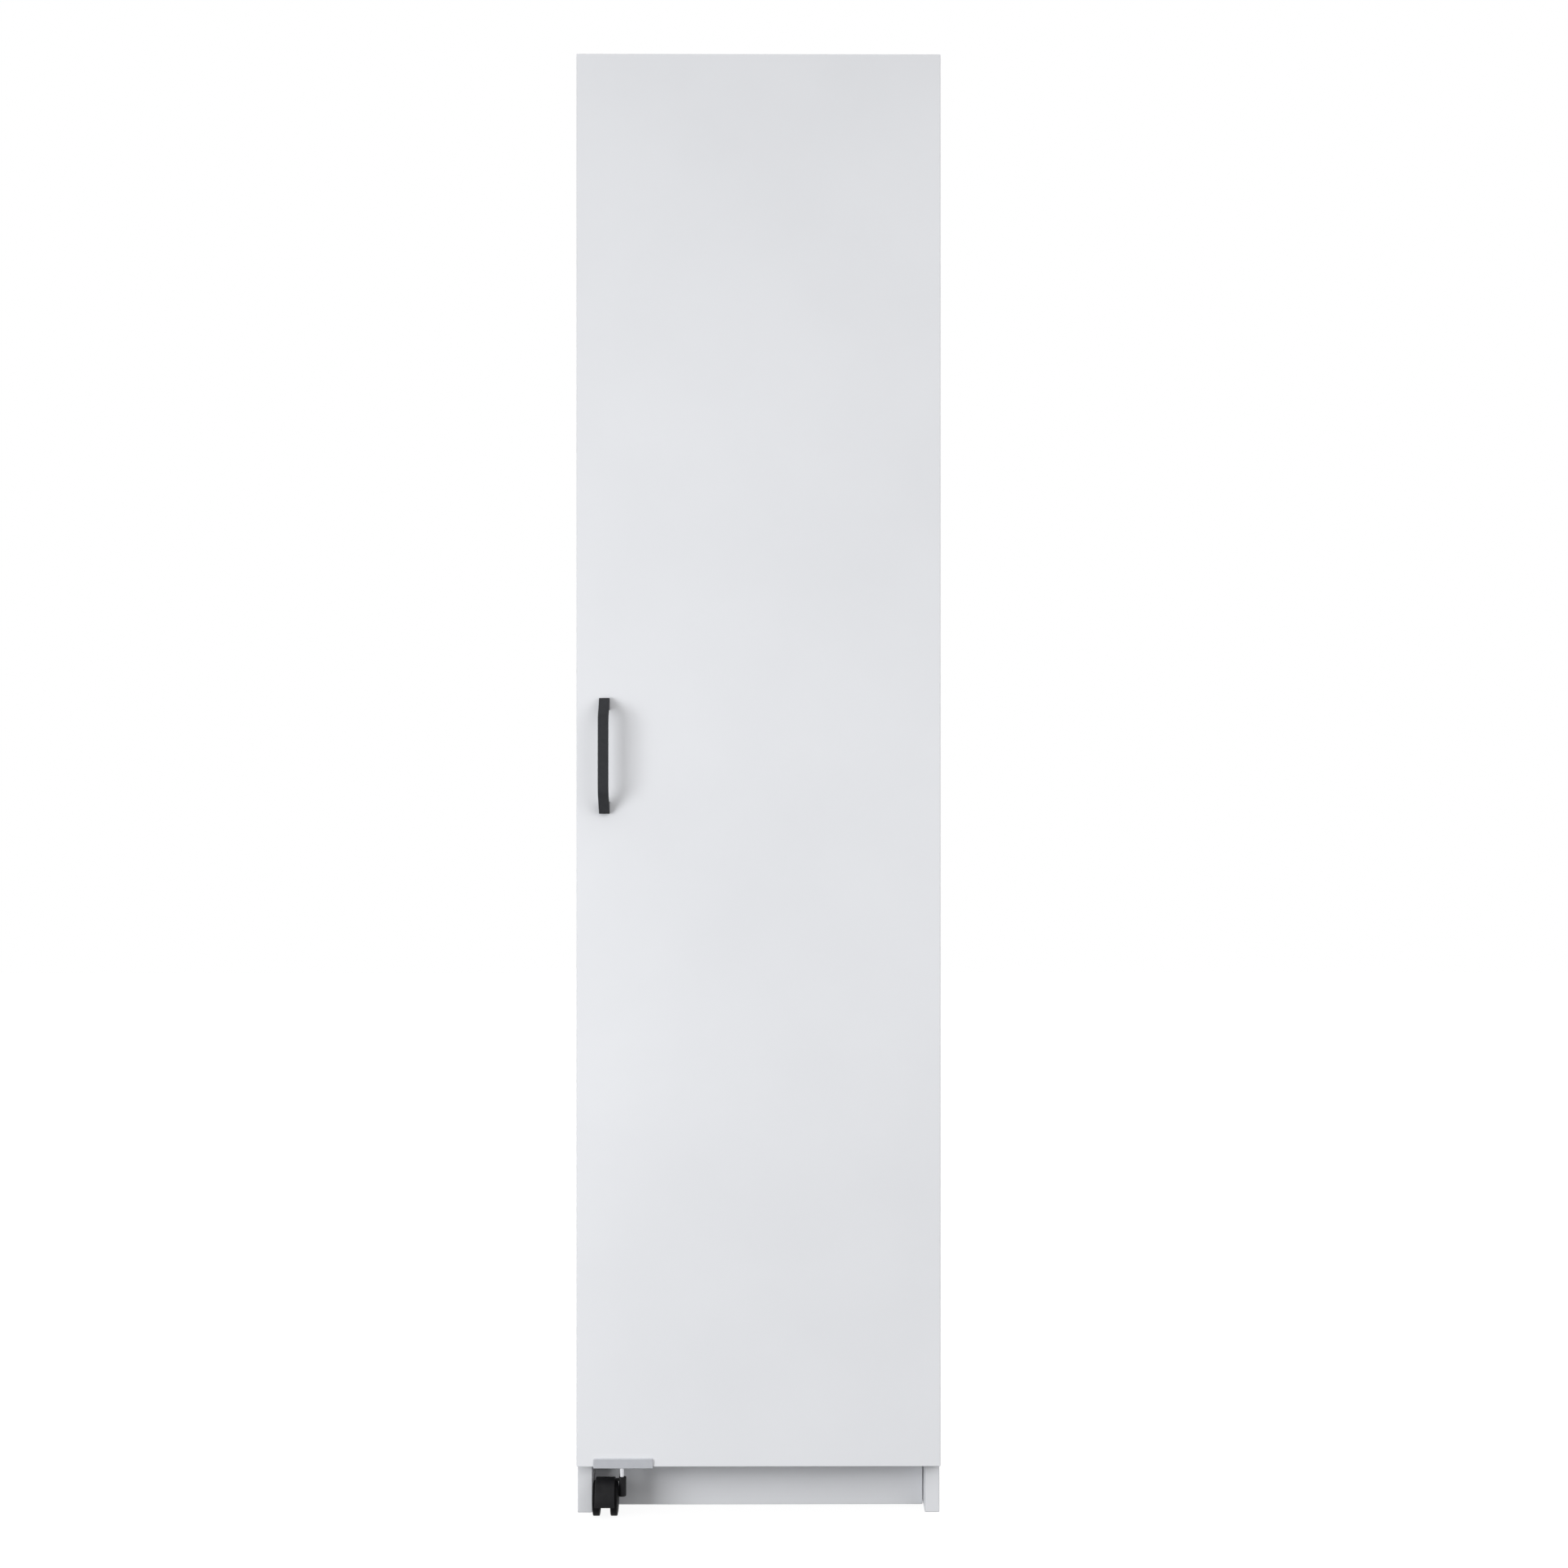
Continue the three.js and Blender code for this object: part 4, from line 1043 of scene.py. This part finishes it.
def castor_shoe(low, high, stem, stem_radius):
    wall = shoe_wall
    section = [
        (low.y, low.z), (high.y, low.z), (high.y, high.z), (high.y - wall, high.z),
        (high.y - wall, low.z + wall), (low.y + wall, low.z + wall), (low.y + wall, high.z), (low.y, high.z),
    ]
    section = rounded(section, (0, shoe_foot, 0, 0, 0, 0, 0, 0), 4)
    shoe = pressed("shoe", section, low.x, high.x, shoe_grey, sweep_x)
    full = rounded(rectangle((low.x, low.z), (high.x, high.z)), shoe_corners, 6)
    face = ((low.x + shoe_bevel, low.z + shoe_foot), (high.x - shoe_bevel_right, high.z - shoe_bevel))
    face = rounded(rectangle(*face), shoe_face_corners, 6)
    steps = ((full, -high.y), (full, -low.y - shoe_bevel), (face, -low.y))
    shoe = worked(shoe, keep=[lofted("trim", steps, shoe_grey, sweep_y)])
    lie = Matrix.Translation((stem.x, stem.y, low.z))
    drills = [peg("drill", stem_radius + stem_clearance, -wall, 2 * wall, shoe_grey, lie)]
    for number in (1, 2):
        spot = sum(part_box(f"castor_shoe_screw_{number}"), Vector()) / 2
        lie = Matrix.Translation((spot.x, high.y, spot.z)) @ sweep_y
        drills.append(peg("drill", shoe_hole, -wall, 2 * wall, shoe_grey, lie, 24))
    return worked(shoe, cut=drills)


shoe_low, shoe_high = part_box("castor_shoe")
stem_low, stem_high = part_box("castor_stem")
stem_middle = (stem_low + stem_high) / 2
stem_radius = (stem_high.x - stem_low.x) / 2
shoe = castor_shoe(shoe_low, shoe_high, stem_middle, stem_radius)
shoe.name = "folded_shoe"
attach(shoe, "door")
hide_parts("castor_shoe")
screw_low, screw_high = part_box("castor_shoe_screw_1")
length = screw_high.y - screw_low.y - shoe_screw_rise
shoe_screw = pan_screw("shoe_screw", head=0.0034, rise=shoe_screw_rise, shank=0.00175, length=length)
for number in (1, 2):
    low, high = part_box(f"castor_shoe_screw_{number}")
    spot = ((low.x + high.x) / 2, high.y - shoe_screw_rise, (low.z + high.z) / 2)
    screw = drive(shoe_screw, f"cross_shoe_screw_{number}", "door", spot, (0, 1, 0))
    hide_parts(f"castor_shoe_screw_{number}")
scrap(shoe_screw)


# Castor stem
# A turned and zinc-plated steel stem, fixed up into the door through the shoe. Its shoulder stands on
# the housing's socket, and the thinner spigot below goes down into it.
spigot_radius = 0.0022
stem_chamfer = 0.0004
shoulder_gap = 0.0002
neck_drop = 0.0015

house_low, house_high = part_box("castor_housing")
shoulder = house_high.z + shoulder_gap
neck = shoe_low.z - neck_drop
stem = new_piece("turned_stem", turned([
    (0, stem_low.z),
    (spigot_radius - stem_chamfer, stem_low.z),
    (spigot_radius, stem_low.z + stem_chamfer),
    (spigot_radius, shoulder),
    (stem_radius - stem_chamfer, shoulder),
    (stem_radius, shoulder + stem_chamfer),
    (stem_radius, neck - stem_chamfer),
    (stem_radius - stem_chamfer, neck),
    (stem_radius, neck + stem_chamfer),
    (stem_radius, stem_high.z - stem_chamfer),
    (stem_radius - stem_chamfer, stem_high.z),
    (0, stem_high.z),
], 48), zinc)
stem.location = (stem_middle.x, stem_middle.y, 0)
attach(stem, "door")
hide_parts("castor_stem")


# Castor housing
# Moulded in black nylon: a hood over both wheels, a web and a hub between them for the axle, and at its
# right a round socket for the stem, flattened where it stands beside the wheel.
hood_inner = 0.023
hood_outer = 0.0255
hood_lip = 0.0009
hood_rear = math.radians(38)
hood_front = math.radians(193.6)
web_end = math.radians(178)
web_half = 0.0062
hub_radius = 0.008
hub_rise = 0.0002
axle_bore = 0.00225
stem_offset = 0.0201
socket_flat = 0.0168
socket_round = 0.0055
socket_low = 0.0025
socket_floor = 0.003
socket_bore = 0.0025
socket_edges = (0, 0.0008, 0.0004, 0)
bridge_half = 0.004
bridge_radii = (0.0221, 0.0239)
bridge_lap = (0.0025, 0.0008)
castor_black = new_finish(
    "black nylon",
    tones=((0.007, 0.007, 0.008), (0.01, 0.01, 0.011)), tone_grain=(150.0, 3.0),
    gloss=(0.36, 0.5), gloss_grain=(800.0, 2.0),
    relief=0.00003, relief_grain=(1800.0, 2.0),
    shine=0.15,
)


def swung(name, profile, start, end, steps, finish):
    """A solid bent round X. Its profile is (x, radius), and its angles run from +Y towards +Z."""
    turns = [start + (end - start) * step / steps for step in range(steps + 1)]
    rings = [[(x, r * math.cos(turn), r * math.sin(turn)) for x, r in profile] for turn in turns]
    return skinned(name, rings, finish)


def castor_housing(axle, low, high):
    """The housing about the middle of its axle, moved to its place at the end."""
    half = axle.x - low.x
    top = high.z - axle.z
    lip = rounded(rectangle((-half, hood_inner), (half, hood_outer)), hood_lip, 4)
    hood = swung("castor_hood", lip, hood_rear, hood_front, 44, castor_black)
    middle = (hood_inner + hood_outer) / 2
    turns = [hood_rear + (web_end - hood_rear) * i / 40 for i in range(41)]
    fan = [(0, -hub_radius / 4)] + [(math.cos(a) * middle, math.sin(a) * middle) for a in turns]
    web = pressed("web", fan, -web_half, web_half, castor_black, sweep_x)
    boss = web_half + hub_rise
    hub = peg("hub", hub_radius, -boss, boss, castor_black, sweep_x)
    aside = Matrix.Translation((stem_offset, 0, 0))
    socket = [(0, socket_low), (socket_round, socket_low), (socket_round, top), (0, top)]
    socket = new_piece("socket", turned(rounded(socket, socket_edges, 4), 48), castor_black, aside)
    beside = rectangle((socket_flat, -socket_round * 2), (stem_offset + socket_round * 2, socket_round * 2))
    socket = worked(socket, keep=[pressed("beside", beside, 0, 2 * top, castor_black)])
    lean = math.asin(bridge_half / bridge_radii[1])
    bridge = ((half - bridge_lap[0], bridge_radii[0]), (socket_flat + bridge_lap[1], bridge_radii[1]))
    bridge = swung("bridge", rectangle(*bridge), math.pi / 2 - lean, math.pi / 2 + lean, 6, castor_black)
    bore = peg("bore", socket_bore, socket_low + socket_floor, 2 * top, castor_black, aside, 32)
    through = peg("through", axle_bore, -2 * web_half, 2 * web_half, castor_black, sweep_x, 32)
    house = worked(hood, add=[web, hub, bridge, socket], cut=[bore, through])
    house.data.transform(Matrix.Translation(axle))
    return house


axle_low, axle_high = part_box("castor_axle")
axle_middle = (axle_low + axle_high) / 2
house = castor_housing(axle_middle, house_low, house_high)
house.name = "moulded_housing"
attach(house, "door")
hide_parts("castor_housing")


# Castor axle
# A plain zinc-plated steel rod pressed through the housing's hub, with its ends chamfered. Both wheels
# turn on it.
axle_half = (axle_high - axle_low) / 2
axle_mesh = rod("axle", axle_half.z, axle_half.x, chamfer=0.0004, steps=32)
axle = put(axle_mesh, "turned_axle", axle_middle, (1, 0, 0))
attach(axle, "door")
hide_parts("castor_axle")
scrap(axle_mesh)


# Castor wheels
# Two wheels of a duller and deeper black nylon, moulded with a domed outer face, a cap let into its
# middle and a recess round the hub inside. They spin on the axle one apart from the other.
wheel_radius = 0.0215
wheel_width = 0.0084
wheel_dome = 0.0012
dome_power = 4
tread_edge = 0.0011
bore_floor = 0.002
rim_radius = wheel_radius * 0.8
rim_depth = 0.003
hub_chamfer = 0.0004
cap_ring = 0.0095
cap_groove = 0.0004
tread_black = new_finish(
    "black wheel nylon",
    tones=((0.0035, 0.0035, 0.004), (0.005, 0.005, 0.0055)), tone_grain=(150.0, 3.0),
    gloss=(0.48, 0.62), gloss_grain=(900.0, 2.0),
    relief=0.00002, relief_grain=(1800.0, 2.0),
    shine=0.06,
)


def castor_wheel():
    """A wheel along its own Z, its inner face at zero and its domed face outwards."""
    tread = [(rim_radius, 0), (wheel_radius, 0), (wheel_radius, wheel_width), (rim_radius, wheel_width)]
    edge = wheel_radius - tread_edge

    def on_dome(radius):
        return radius, wheel_width + wheel_dome * (1 - (radius / edge) ** dome_power)

    ring = on_dome(cap_ring)[1]
    return turned([
        (0, wheel_width - bore_floor),
        (axle_bore, wheel_width - bore_floor),
        (axle_bore, 0),
        (hub_radius - hub_chamfer, 0),
        (hub_radius, hub_chamfer),
        (hub_radius, rim_depth),
        (rim_radius, rim_depth),
        *rounded(tread, (0, tread_edge, tread_edge, 0), 4)[:-1],
        *[on_dome(edge * share) for share in (0.9, 0.8, 0.7, 0.6, 0.52)],
        (cap_ring + cap_groove, ring),
        (cap_ring, ring - cap_groove),
        (cap_ring - cap_groove, ring),
        *[on_dome(edge * share) for share in (0.36, 0.24, 0.12, 0)],
    ], 72)


wheel_mesh = new_piece("wheel", castor_wheel(), tread_black)
for hand, side in hands:
    node = f"castor_wheel_{hand}"
    low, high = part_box(node)
    middle = (low + high) / 2
    spot = (high.x if side < 0 else low.x, middle.y, middle.z)
    wheel = put(wheel_mesh, f"domed_wheel_{hand}", spot, (side, 0, 0))
    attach(wheel, f"{hand}_wheel")
    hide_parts(node)
scrap(wheel_mesh)
